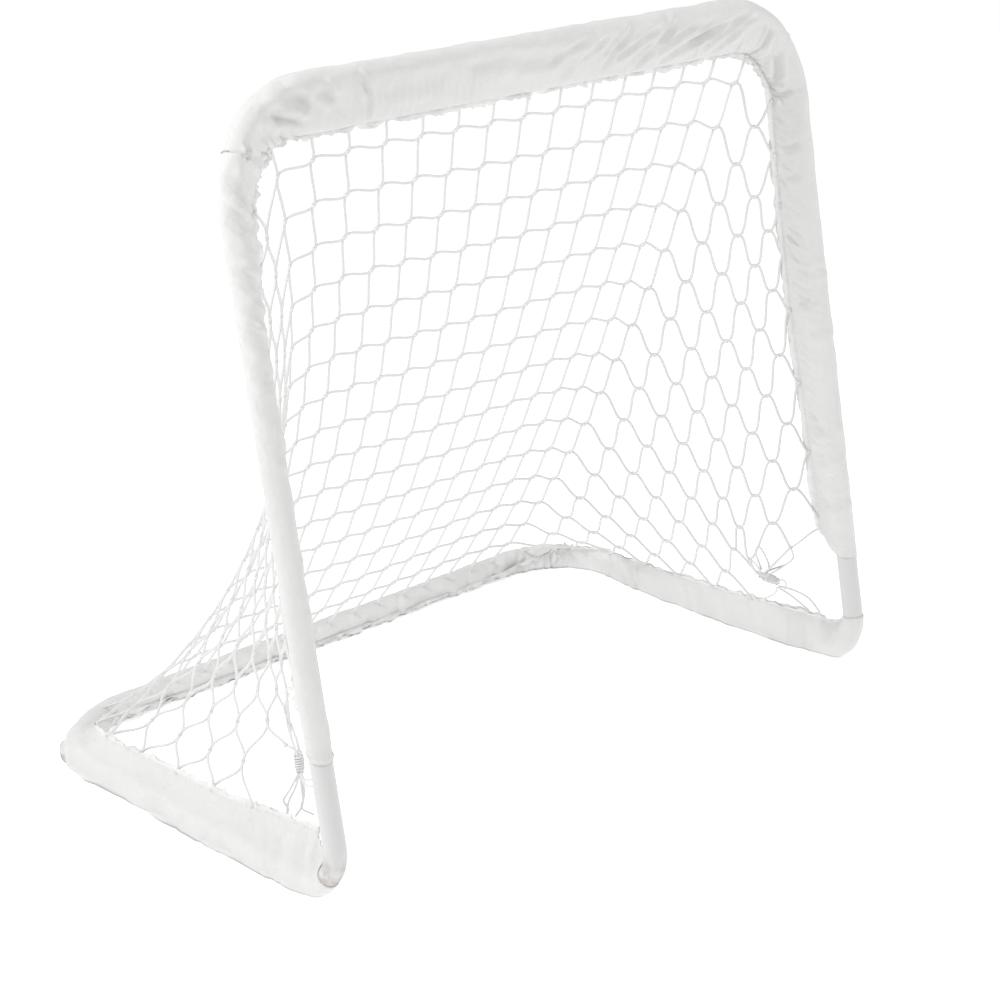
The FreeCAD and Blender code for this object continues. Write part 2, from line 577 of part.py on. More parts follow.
def button_spring(label, seat):
    """The spring's lower leaf, its bend and the root of its upper leaf: one bent strip."""
    body = doc.addObject("PartDesign::Body", label)
    side_view = sketch_in(body, f"{label}_side", "XZ_Plane")
    outer = "(sizes.strip_height + sizes.strip_gauge / 2)"
    inner = "(sizes.strip_height - sizes.strip_gauge / 2)"
    bend_x = "-(sizes.arm_length + sizes.arm_root)"
    root_x = "-(sizes.arm_length + sizes.arm_gap)"
    nose_x = "sizes.strip_nose"
    centre = Vector(size(bend_x), 0, 0)
    quarter = math.pi / 2
    arcs, rings = [], (outer, inner)
    for ring in rings:
        half_turn = Part.ArcOfCircle(Part.Circle(centre, Vector(0, 0, 1), size(ring)), quarter, 3 * quarter)
        arcs.append(side_view.addGeometry(half_turn, False))
        pin_point(side_view, arcs[-1], 3, bend_x, "0")
        bind(side_view, "Radius", arcs[-1], ring)
    runs = {}
    for ring in (0, 1):
        for end, x, sign in ((1, root_x, ""), (2, nose_x, "-")):
            near = Vector(centre.x, size(f"{sign}{rings[ring]}"), 0)
            far = Vector(size(x), near.y, 0)
            runs[ring, end] = side_view.addGeometry(Part.LineSegment(near, far), False)
            side_view.addConstraint(Sketcher.Constraint("Tangent", runs[ring, end], 1, arcs[ring], end))
            bind(side_view, "DistanceX", -1, 1, runs[ring, end], 2, x)
            side_view.addConstraint(Sketcher.Constraint("Horizontal", runs[ring, end]))
    for end in (1, 2):
        corners = [side_view.getPoint(runs[ring, end], 2) for ring in (0, 1)]
        edge = side_view.addGeometry(Part.LineSegment(*corners), False)
        for vertex, ring in ((1, 0), (2, 1)):
            side_view.addConstraint(Sketcher.Constraint("Coincident", runs[ring, end], 2, edge, vertex))
    strip = body.newObject("PartDesign::Pad", f"{label}_strip")
    strip.Profile = side_view
    strip.setExpression("Length", "sizes.strip_width")
    strip.Midplane = True
    body.Label = label
    body.Placement = seat
    return body


def clipped(outline, point, inward):
    """The part of a convex outline on the inner side of a line."""
    kept = []
    for here, there in zip(outline, outline[1:] + outline[:1]):
        depth_here, depth_there = (here - point).dot(inward), (there - point).dot(inward)
        if depth_here >= 0:
            kept.append(here)
        if depth_here * depth_there < 0:
            kept.append(here + (there - here) * (depth_here / (depth_here - depth_there)))
    return kept


def shrunk(outline, corners, insets):
    """Cut a convex outline back to lines that lie inside the edges of another, each by its own inset."""
    middle = sum(corners, Vector()) / len(corners)
    for here, there, inset in zip(corners, corners[1:] + corners[:1], insets):
        if (there - here).Length < inset:
            continue
        along = direction(there - here)
        inward = Vector(-along.y, along.x, 0)
        if (middle - here).dot(inward) < 0:
            inward = -inward
        outline = clipped(outline, here + inward * inset, inward)
    return outline


def area(outline):
    """The area inside a flat outline."""
    return abs(sum(a.x * b.y - b.x * a.y for a, b in zip(outline, outline[1:] + outline[:1]))) / 2


def bowed_sheet(outline, sag):
    """A sheet of the twine's thickness over a flat outline, folded once across its middle line.

    Its side view is a band along two straight runs that meet at the middle, off the outline's plane by
    the sag. The band's corners there lie on the line that halves the fold's angle.
    """
    low, high = min(point.y for point in outline), max(point.y for point in outline)
    left, right = min(point.x for point in outline), max(point.x for point in outline)
    slope = math.atan2(2 * sag, high - low)
    half = named("twine") / 2
    run = Vector(0, -math.sin(slope) * half, math.cos(slope) * half)
    back = Vector(0, math.sin(slope) * half, math.cos(slope) * half)
    mitre = Vector(0, 0, half / math.cos(slope))
    start, middle, end = Vector(0, low, 0), Vector(0, (low + high) / 2, sag), Vector(0, high, 0)
    band = [start + run, middle + mitre, end + back, end - back, middle - mitre, start - run]
    shift = Vector(left - half, 0, 0)
    side_view = Part.Face(Part.makePolygon([point + shift for point in band + band[:1]]))
    return side_view.extrude(Vector(right - left + 2 * half, 0, 0))


def net_panel(label, origin, across, within, corners, insets, meshes, sag=0.0):
    """One panel of net: a single face with a hole for each mesh, given the twine's thickness.

    origin, across and within place the panel's plane; corners is its convex outline in space, insets
    what each edge keeps clear, and meshes the corners of every mesh in space. A panel with a sag is
    cut from a sheet that is folded across its middle, so that it leaves the plane there by the sag.
    """
    normal = across.cross(within)
    place = frame(origin, across, normal)
    flat = [place.inverse() * corner for corner in corners]
    twine = named("twine")
    outline = shrunk(flat, flat, insets)
    opening = shrunk(outline, flat, [inset + twine for inset in insets])
    wires = [Part.makePolygon(outline + outline[:1])]
    for mesh in meshes:
        cell = [place.inverse() * corner for corner in mesh]
        hole = shrunk(opening, cell, [twine / 2] * len(cell))
        if len(hole) > 2 and area(hole) > SMALLEST_MESH * twine * twine:
            wires.append(Part.makePolygon(hole + hole[:1]))
    face = Part.Face(wires, "Part::FaceMakerBullseye")
    depth = twine + 4 * abs(sag)
    solid = face.extrude(Vector(0, 0, depth))
    solid.translate(Vector(0, 0, -depth / 2))
    if sag:
        solid = solid.common(bowed_sheet(outline, sag)).Solids[0]
    panel = doc.addObject("Part::Feature", label)
    panel.Shape = solid
    panel.Placement = place
    return panel


def lattice(first, second, third, fourth, columns, rows, first_row=0.0):
    """Every mesh of a four-sided panel, from its corners in turn.

    first_row is the first row's share of the panel's height where that row is lower than the rest.
    """
    def knot(column, row):
        top = first + (second - first) * (column / columns)
        foot = fourth + (third - fourth) * (column / columns)
        share = first_row + (1 - first_row) * (row - 1) / (rows - 1) if first_row and row else row / rows
        return top + (foot - top) * share
    return [[knot(i, j), knot(i + 1, j), knot(i + 1, j + 1), knot(i, j + 1)]
            for i in range(columns) for j in range(rows)]


def corner_lattice(top, fold, foot, count):
    """Every mesh of a three-sided panel whose long side lies along a hem."""
    def knot(column, row):
        return top + (fold - top) * (row / count) + (foot - fold) * (column / count)
    meshes = []
    for row in range(count):
        for column in range(row + 1):
            mesh = [knot(column, row), knot(column + 1, row + 1), knot(column, row + 1)]
            if column < row:
                mesh.insert(1, knot(column + 1, row))
            meshes.append(mesh)
    return meshes


def crossing(point, along, normal, through):
    """Where a line meets a plane."""
    return point + along * ((through - point).dot(normal) / along.dot(normal))


class NetCorners:
    """The net's corner points on one side, in the base's frame."""

    def __init__(self, side):
        half = side * size(HALF_WIDTH)
        gap = named("net_gap")
        up_post = direction(Vector(0, named("lean_back"), named("rise")))
        tilt = Rotation(Vector(1, 0, 0), -size(LEAN))
        post_tip = Vector(half, 0, 0) + tilt.multVec(post_hem(side)) * (named("post_reach") + gap)
        leg_tip = Vector(half, 0, 0) + leg_hem(side) * (named("leg_reach") + gap)
        back = Vector(0, 1, 0)
        self.fold = Vector(side * named("waist_half"), named("waist_depth"), named("waist_rise"))
        self.post_normal = up_post.cross(self.fold - post_tip)
        self.leg_normal = back.cross(self.fold - leg_tip)
        self.post_top = post_tip + up_post * named("post_net_top")
        self.post_out = tilt.multVec(post_hem(side))
        self.post_end = post_tip + up_post * named("post_sleeve_end")
        self.leg_end = leg_tip + back * named("leg_net_front")
        self.leg_back = leg_tip + back * named("leg_net_back")
        seam = direction(self.post_normal.cross(self.leg_normal))
        if seam.z < 0:
            seam = -seam
        self.seam = seam
        post_side = up_post.cross(self.post_normal)
        self.post_foot = crossing(self.fold, seam, post_side, post_tip)
        leg_side = back.cross(self.leg_normal)
        self.leg_foot = crossing(self.fold, seam, leg_side, leg_tip)
        self.gather = self.post_foot + seam * named("gather_top")


def nets():
    """The eight panels of the net."""
    gap, fold_gap, side_gap = named("net_gap"), named("fold_gap"), named("side_gap")
    columns, rows = int(named("back_columns")), int(named("half_rows"))
    upper = direction(UPPER)
    lower = direction(Vector(0, named("waist_depth") - named("depth"), named("waist_rise")))
    crossbar_y = Vector(0, named("lean_back"), named("rise")) + upper * (named("crossbar_reach") + gap)
    bar_y = Vector(0, named("depth"), 0) + lower * (named("back_reach") + gap)
    left, right = NetCorners(-1), NetCorners(1)
    top = [crossbar_y + Vector(side * named("net_top_half"), 0, 0) for side in (-1, 1)]
    foot = [bar_y + Vector(side * named("net_foot_half"), 0, 0) for side in (-1, 1)]
    across = Vector(1, 0, 0)
    straight = size(f"{HALF_WIDTH} - sizes.top_bend")
    ends = [crossbar_y + Vector(side * straight, 0, 0) for side in (-1, 1)]
    shoulders = [point + direction(corner.fold - point) * named("net_corner_drop")
                 for point, corner in zip(top, (left, right))]
    first_row = named("net_first_row") / (left.fold - crossbar_y - across * left.fold.x).Length
    panels = [
        ("net_back_upper", across, -upper,
         [ends[0], ends[1], shoulders[1], right.fold, left.fold, shoulders[0]],
         [0, 0, side_gap, fold_gap, side_gap, 0],
         lattice(top[0], top[1], right.fold, left.fold, columns, rows, first_row)),
        ("net_back_lower", across, lower, [left.fold, right.fold, foot[1], foot[0]],
         [fold_gap, side_gap, 0, side_gap], lattice(left.fold, right.fold, foot[1], foot[0], columns, rows)),
    ]
    sags = {"net_back_upper": named("upper_sag"), "net_back_lower": named("lower_sag")}
    made = []
    for word, corner in (("left", left), ("right", right)):
        panels.append((f"net_post_{word}", corner.seam, corner.post_normal.cross(corner.seam),
                       [corner.post_top, corner.fold, corner.gather, corner.post_end],
                       [side_gap, fold_gap, 0, 0],
                       corner_lattice(corner.post_top, corner.fold, corner.post_foot, rows)))
        panels.append((f"net_leg_{word}", corner.seam, corner.leg_normal.cross(corner.seam),
                       [corner.leg_back, corner.fold, corner.gather, corner.leg_end],
                       [side_gap, fold_gap, 0, 0],
                       corner_lattice(corner.leg_back, corner.fold, corner.leg_foot, rows)))
        bar_end = foot[0] if word == "left" else foot[1]
        rear = [corner.fold, corner.leg_back, bar_end]
        down = direction(corner.leg_back - corner.fold)
        rear_normal = direction(down.cross(bar_end - corner.fold))
        panels.append((f"net_rear_{word}", down, rear_normal.cross(down), rear, [side_gap, 0, side_gap],
                       lattice(corner.fold, corner.fold, bar_end, corner.leg_back,
                               int(named("rear_columns")), rows)))
    for label, x_axis, y_axis, corners, insets, meshes in panels:
        panel = net_panel(label, corners[1], direction(x_axis), direction(y_axis), corners, insets, meshes,
                          sags.get(label, 0.0))
        panel.Placement = BASE * panel.Placement
        made.append(panel)
    return made


def rod(name, begin, end, start_radius, end_radius=None):
    """A round bar or a taper between two points of the base's frame, its radii bound to the sheet."""
    along = end - begin
    side = Vector(0, 0, 1) if abs(along.z) < abs(along.x) else Vector(1, 0, 0)
    if end_radius:
        item = add("Part::Cone", name, Radius1=start_radius, Radius2=end_radius)
    else:
        item = add("Part::Cylinder", name, Radius=start_radius)
    item.Height = along.Length
    z_unit = direction(along)
    x_unit = direction(side - z_unit * side.dot(z_unit))
    item.Placement = frame(begin, x_unit, z_unit)
    return item


def corner_tie(side):
    """The net's front corner gathered to a point, and the cord that ties it to both sleeves."""
    word = "left" if side < 0 else "right"
    label = f"corner_tie_{word}"
    corner = NetCorners(side)
    gap = named("net_gap")
    ends = (corner.post_end, corner.leg_end)
    slopes = [math.pi - corner.seam.getAngle(end - corner.gather) for end in ends]
    drop = max((named("gather_radius") / math.tan(slope) + gap / math.sin(slope)) for slope in slopes)
    top = corner.gather - corner.seam * drop
    knot = top - corner.seam * named("gather_length")
    half_twine = "sizes.twine / 2"
    clear = gap + named("twine") / 2
    spare = 2 * named("twine")
    post_point = corner.post_end - corner.post_out * spare
    leg_point = corner.leg_end - Vector(0, spare, 0)
    lump = add("Part::Sphere", f"{label}_knot", Radius="sizes.knot_radius")
    lump.Placement.Base = knot
    parts = [rod(f"{label}_gather", top, knot, "sizes.gather_radius", "sizes.gather_waist"), lump]
    for word_end, target in (("post", post_point), ("leg", leg_point)):
        away = direction(knot - target)
        parts.append(rod(f"{label}_{word_end}_strand", knot, target + away * clear, half_twine))
    joined = doc.addObject("Part::MultiFuse", label)
    joined.Shapes = parts
    joined.Label = label
    joined.Placement = BASE
    return joined


def build():
    """Make every sub-part."""
    made = [hoop_tube(-1), hoop_tube(1), base_tube(-1), base_tube(1)]
    seats = {"crossbar": HOOP * CROSSBAR_SEAT, "back": BASE * BACK_SEAT,
             "post_left": HOOP * POST_SEAT[-1], "post_right": HOOP * POST_SEAT[1]}
    for word, seat in seats.items():
        made += [snap_button(f"snap_button_{word}", seat), button_arm(f"button_arm_{word}", seat),
                 button_spring(f"button_spring_{word}", seat)]
    cross_tip = ("sizes.crossbar_reach", CROSS_ACROSS, CROSS_UP)
    back_tip = ("sizes.back_reach", BACK_ACROSS, BACK_UP)
    made.append(crossing_sleeve("sleeve_crossbar", "XZ_Plane", HOOP, SLANT, -1, "sizes.top_bend", cross_tip))
    made.append(crossing_sleeve("sleeve_back_bar", "XY_Plane", BASE, "sizes.depth", -1, "sizes.rear_bend",
                                back_tip))
    for side in (-1, 1):
        made += [post_sleeve(side), leg_sleeve(side), corner_tie(side)]
    return made + nets()


def check(parts):
    """Stop if anything in the document failed or any sub-part isn't one valid closed solid."""
    for item in doc.Objects:
        if {"Invalid", "Error"} & set(item.State):
            raise RuntimeError(f"{item.Name} failed: {item.State}")
    for part in parts:
        shape = part.Shape
        if shape.isNull() or not shape.isValid() or len(shape.Solids) != 1:
            raise RuntimeError(f"{part.Label} is not one valid solid")


sub_parts = build()
doc.recompute()
check(sub_parts)
os.makedirs("parts", exist_ok=True)
for sub_part in sub_parts:
    sub_part.Shape.exportStep(f"parts/{sub_part.Label}.step")
    print(f"{sub_part.Label}: {sub_part.Shape.Volume:.0f} mm3, {len(sub_part.Shape.Faces)} faces")
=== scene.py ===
"""Looks of a portable hockey goal net: loose white sleeves on a bent tube frame, and a knotless net."""

import logging
import math
from collections.abc import Callable
from dataclasses import dataclass
from enum import Enum

import bpy
import numpy as np
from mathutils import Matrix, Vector


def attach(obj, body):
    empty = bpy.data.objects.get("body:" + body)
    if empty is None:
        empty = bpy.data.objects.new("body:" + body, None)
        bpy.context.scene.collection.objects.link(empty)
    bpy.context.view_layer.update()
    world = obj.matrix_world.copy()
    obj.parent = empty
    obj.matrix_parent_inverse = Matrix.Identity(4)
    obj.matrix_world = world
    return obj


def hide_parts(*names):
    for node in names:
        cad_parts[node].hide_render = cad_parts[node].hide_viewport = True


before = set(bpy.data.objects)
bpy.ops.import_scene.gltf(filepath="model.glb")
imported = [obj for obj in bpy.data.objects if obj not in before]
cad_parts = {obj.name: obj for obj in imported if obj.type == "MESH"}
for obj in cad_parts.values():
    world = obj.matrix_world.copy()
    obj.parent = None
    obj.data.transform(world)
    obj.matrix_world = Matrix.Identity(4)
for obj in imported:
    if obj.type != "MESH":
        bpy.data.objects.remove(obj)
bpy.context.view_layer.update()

LOG = logging.getLogger("goal_net")
BODY = "frame"
Array = np.ndarray
Point = tuple[float, float, float]
Colour = tuple[float, float, float]
Mesh = tuple[Array, list[Array], Array]


class Side(Enum):
    """The goal's two sides, seen from in front of its mouth."""

    LEFT = -1
    RIGHT = 1

    @property
    def word(self) -> str:
        """The side's word in a name."""
        return self.name.lower()


def unit(vectors: Array) -> Array:
    """Scale vectors to length one along the last axis."""
    return vectors / np.maximum(np.linalg.norm(vectors, axis=-1, keepdims=True), 1e-12)


def smoothstep(share: Array) -> Array:
    """Ease from 0 to 1 as a cubic."""
    share = np.clip(share, 0.0, 1.0)
    return share * share * (3.0 - 2.0 * share)


class Noise:
    """Smooth seeded noise: random heights on a square lattice, blended by smoothstep."""

    def __init__(self, seed: int, size: int = 64) -> None:
        """Draw the random heights.

        Args:
            seed: the generator's seed.
            size: how many heights the lattice has each way.
        """
        self.heights = np.random.default_rng(seed).uniform(-1.0, 1.0, (size, size))

    def waves(self, along: Array, sizes: tuple[float, float], lines: tuple[float, float]) -> Array:
        """Two sizes of the noise together along a length, the finer at 0.6 of its height."""
        return self.at(along / sizes[0], lines[0]) + 0.6 * self.at(along / sizes[1], lines[1])

    def at(self, x: Array, y: Array) -> Array:
        """Read the noise.

        Args:
            x: first coordinate, in lattice steps.
            y: second coordinate, in lattice steps.

        Returns:
            Heights from -1 to 1, of the coordinates' joint shape.
        """
        x, y = np.broadcast_arrays(np.asarray(x, float), np.asarray(y, float))
        size = len(self.heights)
        column, row = np.floor(x).astype(int), np.floor(y).astype(int)
        across, up = smoothstep(x - column), smoothstep(y - row)
        low = self._near(column, row, size) * (1 - across) + self._near(column + 1, row, size) * across
        high = self._near(column, row + 1, size) * (1 - across) + self._near(column + 1, row + 1, size) * across
        return low * (1 - up) + high * up

    def _near(self, column: Array, row: Array, size: int) -> Array:
        """The lattice's heights at whole steps, repeated past its edge."""
        return self.heights[column % size, row % size]


def run_lengths(points: Array) -> Array:
    """Lengths along lines of points, up to each point."""
    steps = np.linalg.norm(np.diff(points, axis=-2), axis=-1)
    return np.concatenate([np.zeros(steps.shape[:-1] + (1,)), np.cumsum(steps, axis=-1)], axis=-1)


def resampled(line: Array, count: int) -> Array:
    """Spread points evenly by length along a dense line.

    Args:
        line: points of shape (n, 3).
        count: how many points to return.

    Returns:
        Points of shape (count, 3).
    """
    lengths = run_lengths(line)
    wanted = np.linspace(0.0, lengths[-1], count)
    return np.stack([np.interp(wanted, lengths, line[:, axis]) for axis in range(3)], axis=1)


def smooth_line(points: Array, count: int) -> Array:
    """A smooth curve through chosen points: each piece is a cubic whose slopes come from its neighbours.

    Args:
        points: the points that the curve passes.
        count: how many points to return.

    Returns:
        Points of shape (count, 3), evenly spaced by length.
    """
    padded = np.vstack([2 * points[0] - points[1], points, 2 * points[-1] - points[-2]])
    share = np.linspace(0.0, 1.0, 24)[None, :, None]
    before, start, end, after = (padded[k:len(padded) - 3 + k, None, :] for k in range(4))
    cubic = start + 0.5 * share * (end - before + share * (2 * before - 5 * start + 4 * end - after
                                                           + share * (3 * (start - end) + after - before)))
    return resampled(cubic.reshape(-1, 3), count)


@dataclass(frozen=True)
class FrameSizes:
    """The tube frame's driving sizes in metres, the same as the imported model's."""

    half_width: float = 0.4445
    rise: float = 0.825
    lean_back: float = 0.1636
    depth: float = 0.546
    tube_radius: float = 0.0127
    top_bend: float = 0.112
    rear_bend: float = 0.112
    elbow_bend: float = 0.044
    feet_y: float = -0.27854
    axis_height: float = 0.0142
    stub: float = 0.171

    @property
    def slant(self) -> float:
        """Length of a post from its foot to the crossbar's axis."""
        return math.hypot(self.rise, self.lean_back)

    @property
    def behind(self) -> Array:
        """Direction square to the hoop's plane, towards the back."""
        return np.array([0.0, self.rise, -self.lean_back]) / self.slant

    def place(self, x: float, back: float, up: float) -> Point:
        """A point from its distances behind the feet and above the base tube's axis."""
        return (x, self.feet_y + back, self.axis_height + up)


SIZES = FrameSizes()


class Rail:
    """A tube's centre line: straight runs joined by tangent arcs.

    An arc runs from where it leaves the first run to where it meets the second: its points are the
    centre plus the radius times (cosine of the turn so far) out from the centre and (sine) along.
    """

    ARC_POINTS = 90

    def __init__(self, corners: list[Point], bends: list[float], normal: Array, sense: float = 1.0) -> None:
        """Lay the runs and arcs.

        Args:
            corners: the line's start, the corners that the arcs round off, and its end.
            bends: the arcs' radii.
            normal: the direction square to the rail's plane.
            sense: 1 or -1, which side of the rail its inward directions lie on.
        """
        corner = np.array(corners, float)
        pieces, marks, length = [corner[:1]], [], 0.0
        for number, radius in enumerate(bends, start=1):
            into = unit(corner[number] - corner[number - 1])
            out = unit(corner[number + 1] - corner[number])
            turn = math.acos(float(np.clip(into @ out, -1.0, 1.0)))
            cut = radius * math.tan(turn / 2)
            start = corner[number] - into * cut
            inward = unit(out - into * (into @ out))
            centre = start + inward * radius
            angle = np.linspace(0.0, turn, self.ARC_POINTS)[:, None]
            arc = centre - inward * radius * np.cos(angle) + into * radius * np.sin(angle)
            length += float(np.linalg.norm(start - pieces[-1][-1]))
            marks.append((length, length + radius * turn))
            length += radius * turn
            pieces.append(arc)
        pieces.append(corner[-1:])
        self.line = np.concatenate(pieces)
        self.lengths = run_lengths(self.line)
        self.bends = marks
        self.total = float(self.lengths[-1])
        self.normal = normal
        self.sense = sense
        self.level = (0.0, self.total)

    def at(self, length: Array) -> Array:
        """Points on the centre line at given lengths."""
        return np.stack([np.interp(length, self.lengths, self.line[:, axis]) for axis in range(3)], axis=-1)

    def along(self, length: Array) -> Array:
        """Directions of the centre line at given lengths."""
        step = 0.003
        return unit(self.at(np.minimum(length + step, self.total)) - self.at(np.maximum(length - step, 0.0)))

    def inward(self, length: Array) -> Array:
        """Directions in the rail's plane, square to it, towards the inside of the frame."""
        length = np.clip(length, *self.level)
        return unit(np.cross(self.normal, self.along(length)) * self.sense)

    def aside(self, length: Array) -> Array:
        """Directions square to the rail and to inward: the plane's normal, turned with the elbows."""
        return unit(np.cross(self.inward(length), self.along(length)) * -self.sense)


def hoop_rail() -> Rail:
    """The hoop from the left foot up, across and down to the right foot."""
    half, top = SIZES.half_width, (SIZES.lean_back, SIZES.rise)
    corners = [SIZES.place(-half, 0, 0), SIZES.place(-half, *top), SIZES.place(half, *top),
               SIZES.place(half, 0, 0)]
    return Rail(corners, [SIZES.top_bend, SIZES.top_bend], SIZES.behind)


def base_rail() -> Rail:
    """The base from the left stub's top down, back, across and forward to the right stub's top."""
    half, stub = SIZES.half_width, SIZES.stub
    tip = (stub * SIZES.lean_back / SIZES.slant, stub * SIZES.rise / SIZES.slant)
    corners = [SIZES.place(-half, *tip), SIZES.place(-half, 0, 0), SIZES.place(-half, SIZES.depth, 0),
               SIZES.place(half, SIZES.depth, 0), SIZES.place(half, 0, 0), SIZES.place(half, *tip)]
    bends = [SIZES.elbow_bend, SIZES.rear_bend, SIZES.rear_bend, SIZES.elbow_bend]
    rail = Rail(corners, bends, np.array([0.0, 0.0, 1.0]), -1.0)
    rail.level = (rail.bends[0][1], rail.bends[3][0])
    return rail


@dataclass(frozen=True)
class HemKey:
    """How a sleeve hangs at one place on its rail.

    length is along the rail, turn the hem's angle in degrees from the frame's inside towards the rail's
    normal, reach the distance from tube axis to hem edge, spread how far loose cloth lies on the floor
    outside the tube's axis (0 where it hugs the tube), crest the height above the axis of a loose ridge
    on top (0 where there is none), and puff how far the cloth stands off the tube.
    """

    length: float
    turn: float
    reach: float
    spread: float = 0.0
    crest: float = 0.0
    puff: float = 0.0


class Hem:
    """The line of the hems along one rail."""

    def __init__(self, rail: Rail, keys: list[HemKey]) -> None:
        """Keep the rail, and the keys' values in arrays."""
        self.rail = rail
        self.lengths = np.array([key.length for key in keys])
        self.values = {name: np.array([getattr(key, name) for key in keys])
                       for name in ("reach", "spread", "crest", "puff")}
        self.values["turn"] = np.radians([key.turn for key in keys])

    def value(self, name: str, length: Array) -> Array:
        """One of the keys' values at given lengths, the turn in radians."""
        return np.interp(length, self.lengths, self.values[name])

    def direction(self, length: Array) -> Array:
        """Directions from the tube's axis to the hem: inward and the normal, by cosine and sine of the turn."""
        turn = self.value("turn", length)[..., None]
        return unit(self.rail.inward(length) * np.cos(turn) + self.rail.aside(length) * np.sin(turn))

    def edge(self, length: Array, inset: float = 0.0) -> Array:
        """Points on the hem's edge, or inside it by an inset."""
        return self.rail.at(length) + self.direction(length) * (self.value("reach", length) - inset)[..., None]


@dataclass(frozen=True)
class Folds:
    """A family of folds across a sleeve.

    A fold's height is its depth times the size of smooth noise, so that it is rounded on top and sharp
    in the valleys, and it is lower where the cloth lies on the tube's outside. The noise changes over the
    spacing along the sleeve, shifted round it by the slant, and over stretch times the spacing round it.
    centre and spread, shares of the sleeve's length, say where the family shows.
    """

    centre: float
    spread: float
    spacing: float
    slant: float
    depth: float
    seed: int
    stretch: float = 2.6
    sharpness: float = 0.85
    outside: float = 0.2

    def height(self, along: Array, around: Array) -> Array:
        """Heights of the folds.

        Args:
            along: place along the sleeve in metres.
            around: place round the section in metres from the tube's outermost line.

        Returns:
            Heights in metres, none below 0.
        """
        noise = Noise(self.seed)
        phase = (along + self.slant * around) / self.spacing
        round_place = around / (self.stretch * self.spacing)
        phase = phase + 0.35 * noise.at(phase * 0.5 + 31.0, round_place * 1.7)
        crest = np.abs(noise.at(phase, round_place)) ** self.sharpness
        share = along / along.max()
        hangs = self.outside + (1 - self.outside) * smoothstep(np.abs(around) / 0.030)
        return self.depth * hangs * crest * np.exp(-(((share - self.centre) / self.spread) ** 2))


@dataclass(frozen=True)
class Crease:
    """One sharp fold: a valley between two places on the cloth, with a soft ridge on each side.

    Places are metres along the sleeve and round it from the tube's outermost line. The valley is a
    bell curve across the line, the ridges are lower ones beside it, and all fade at the line's ends.
    """

    start: tuple[float, float]
    end: tuple[float, float]
    depth: float = 0.0035
    width: float = 0.0045

    def height(self, along: Array, around: Array) -> Array:
        """Heights of the crease in metres, below 0 in the valley."""
        run = np.subtract(self.end, self.start)
        size = float(np.hypot(*run))
        ahead, left = along - self.start[0], around - self.start[1]
        done = (ahead * run[0] + left * run[1]) / size ** 2
        off = (ahead * run[1] - left * run[0]) / size / self.width
        ends = smoothstep((done + 0.25) / 0.4) * smoothstep((1.25 - done) / 0.4)
        ridges = np.exp(-((np.abs(off) - 2.0) ** 2))
        return self.depth * ends * (0.8 * ridges - np.exp(-(off ** 2)))


def belt_sections(centres: Array, radii: Array, count: int) -> Array:
    """Closed outlines round sets of circles, one set to each place along a sleeve.

    Each outline is the convex hull of its circles: in every direction the hull's point is the furthest
    circle's centre plus its radius that way. The points are then spread evenly by length, starting
    and ending in direction 0.

    Args:
        centres: circle centres of shape (n, circles, 2).
        radii: circle radii of shape (n, circles).
        count: points round each outline, its end included.

    Returns:
        Outline points of shape (n, count, 2).
    """
    angle = np.linspace(0.0, 2 * np.pi, 361)
    ray = np.stack([np.cos(angle), np.sin(angle)], axis=-1)
    support = np.einsum("nkc,ac->nka", centres, ray) + radii[:, :, None]
    furthest = support.argmax(axis=1)
    rows = np.arange(len(centres))[:, None]
    hull = centres[rows, furthest] + radii[rows, furthest][..., None] * ray[None]
    lengths = run_lengths(hull)
    wanted = lengths[:, -1:] * np.linspace(0.0, 1.0, count)[None]
    after = np.clip((lengths[:, None, :] < wanted[:, :, None]).sum(axis=2), 1, len(angle) - 1)
    before_length = np.take_along_axis(lengths, after - 1, axis=1)
    after_length = np.take_along_axis(lengths, after, axis=1)
    share = (wanted - before_length) / np.maximum(after_length - before_length, 1e-12)
    return hull[rows, after - 1] * (1 - share[..., None]) + hull[rows, after] * share[..., None]


def grid_faces(rows: int, columns: int) -> Array:
    """Four-sided faces of an open grid of points, facing the way of (rows x columns)."""
    corner = (np.arange(rows - 1)[:, None] * columns + np.arange(columns - 1)[None]).ravel()
    return np.stack([corner, corner + columns, corner + columns + 1, corner + 1], axis=1)


def new_piece(name: str, vertices: Array, faces: list[Array], uv: Array | None = None) -> bpy.types.Object:
    """Make a mesh object at the origin.

    Args:
        name: the piece's name.
        vertices: points of shape (n, 3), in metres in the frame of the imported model.
        faces: arrays of faces, each of shape (m, corners).
        uv: a place on the cloth or cord for every vertex, in metres, of shape (n, 2).

    Returns:
        The new object, with smooth faces.
    """
    mesh = bpy.data.meshes.new(name)
    lists = [row for block in faces for row in block.tolist()]
    mesh.from_pydata(vertices.reshape(-1, 3).tolist(), [], lists)
    if uv is not None:
        layer = mesh.uv_layers.new(name="cloth")
        corners = np.empty(len(mesh.loops), np.int32)
        mesh.loops.foreach_get("vertex_index", corners)
        layer.data.foreach_set("uv", uv.reshape(-1, 2)[corners].astype(np.float32).ravel())
    mesh.polygons.foreach_set("use_smooth", np.ones(len(mesh.polygons), bool))
    mesh.update()
    piece = bpy.data.objects.new(name, mesh)
    bpy.context.scene.collection.objects.link(piece)
    return piece


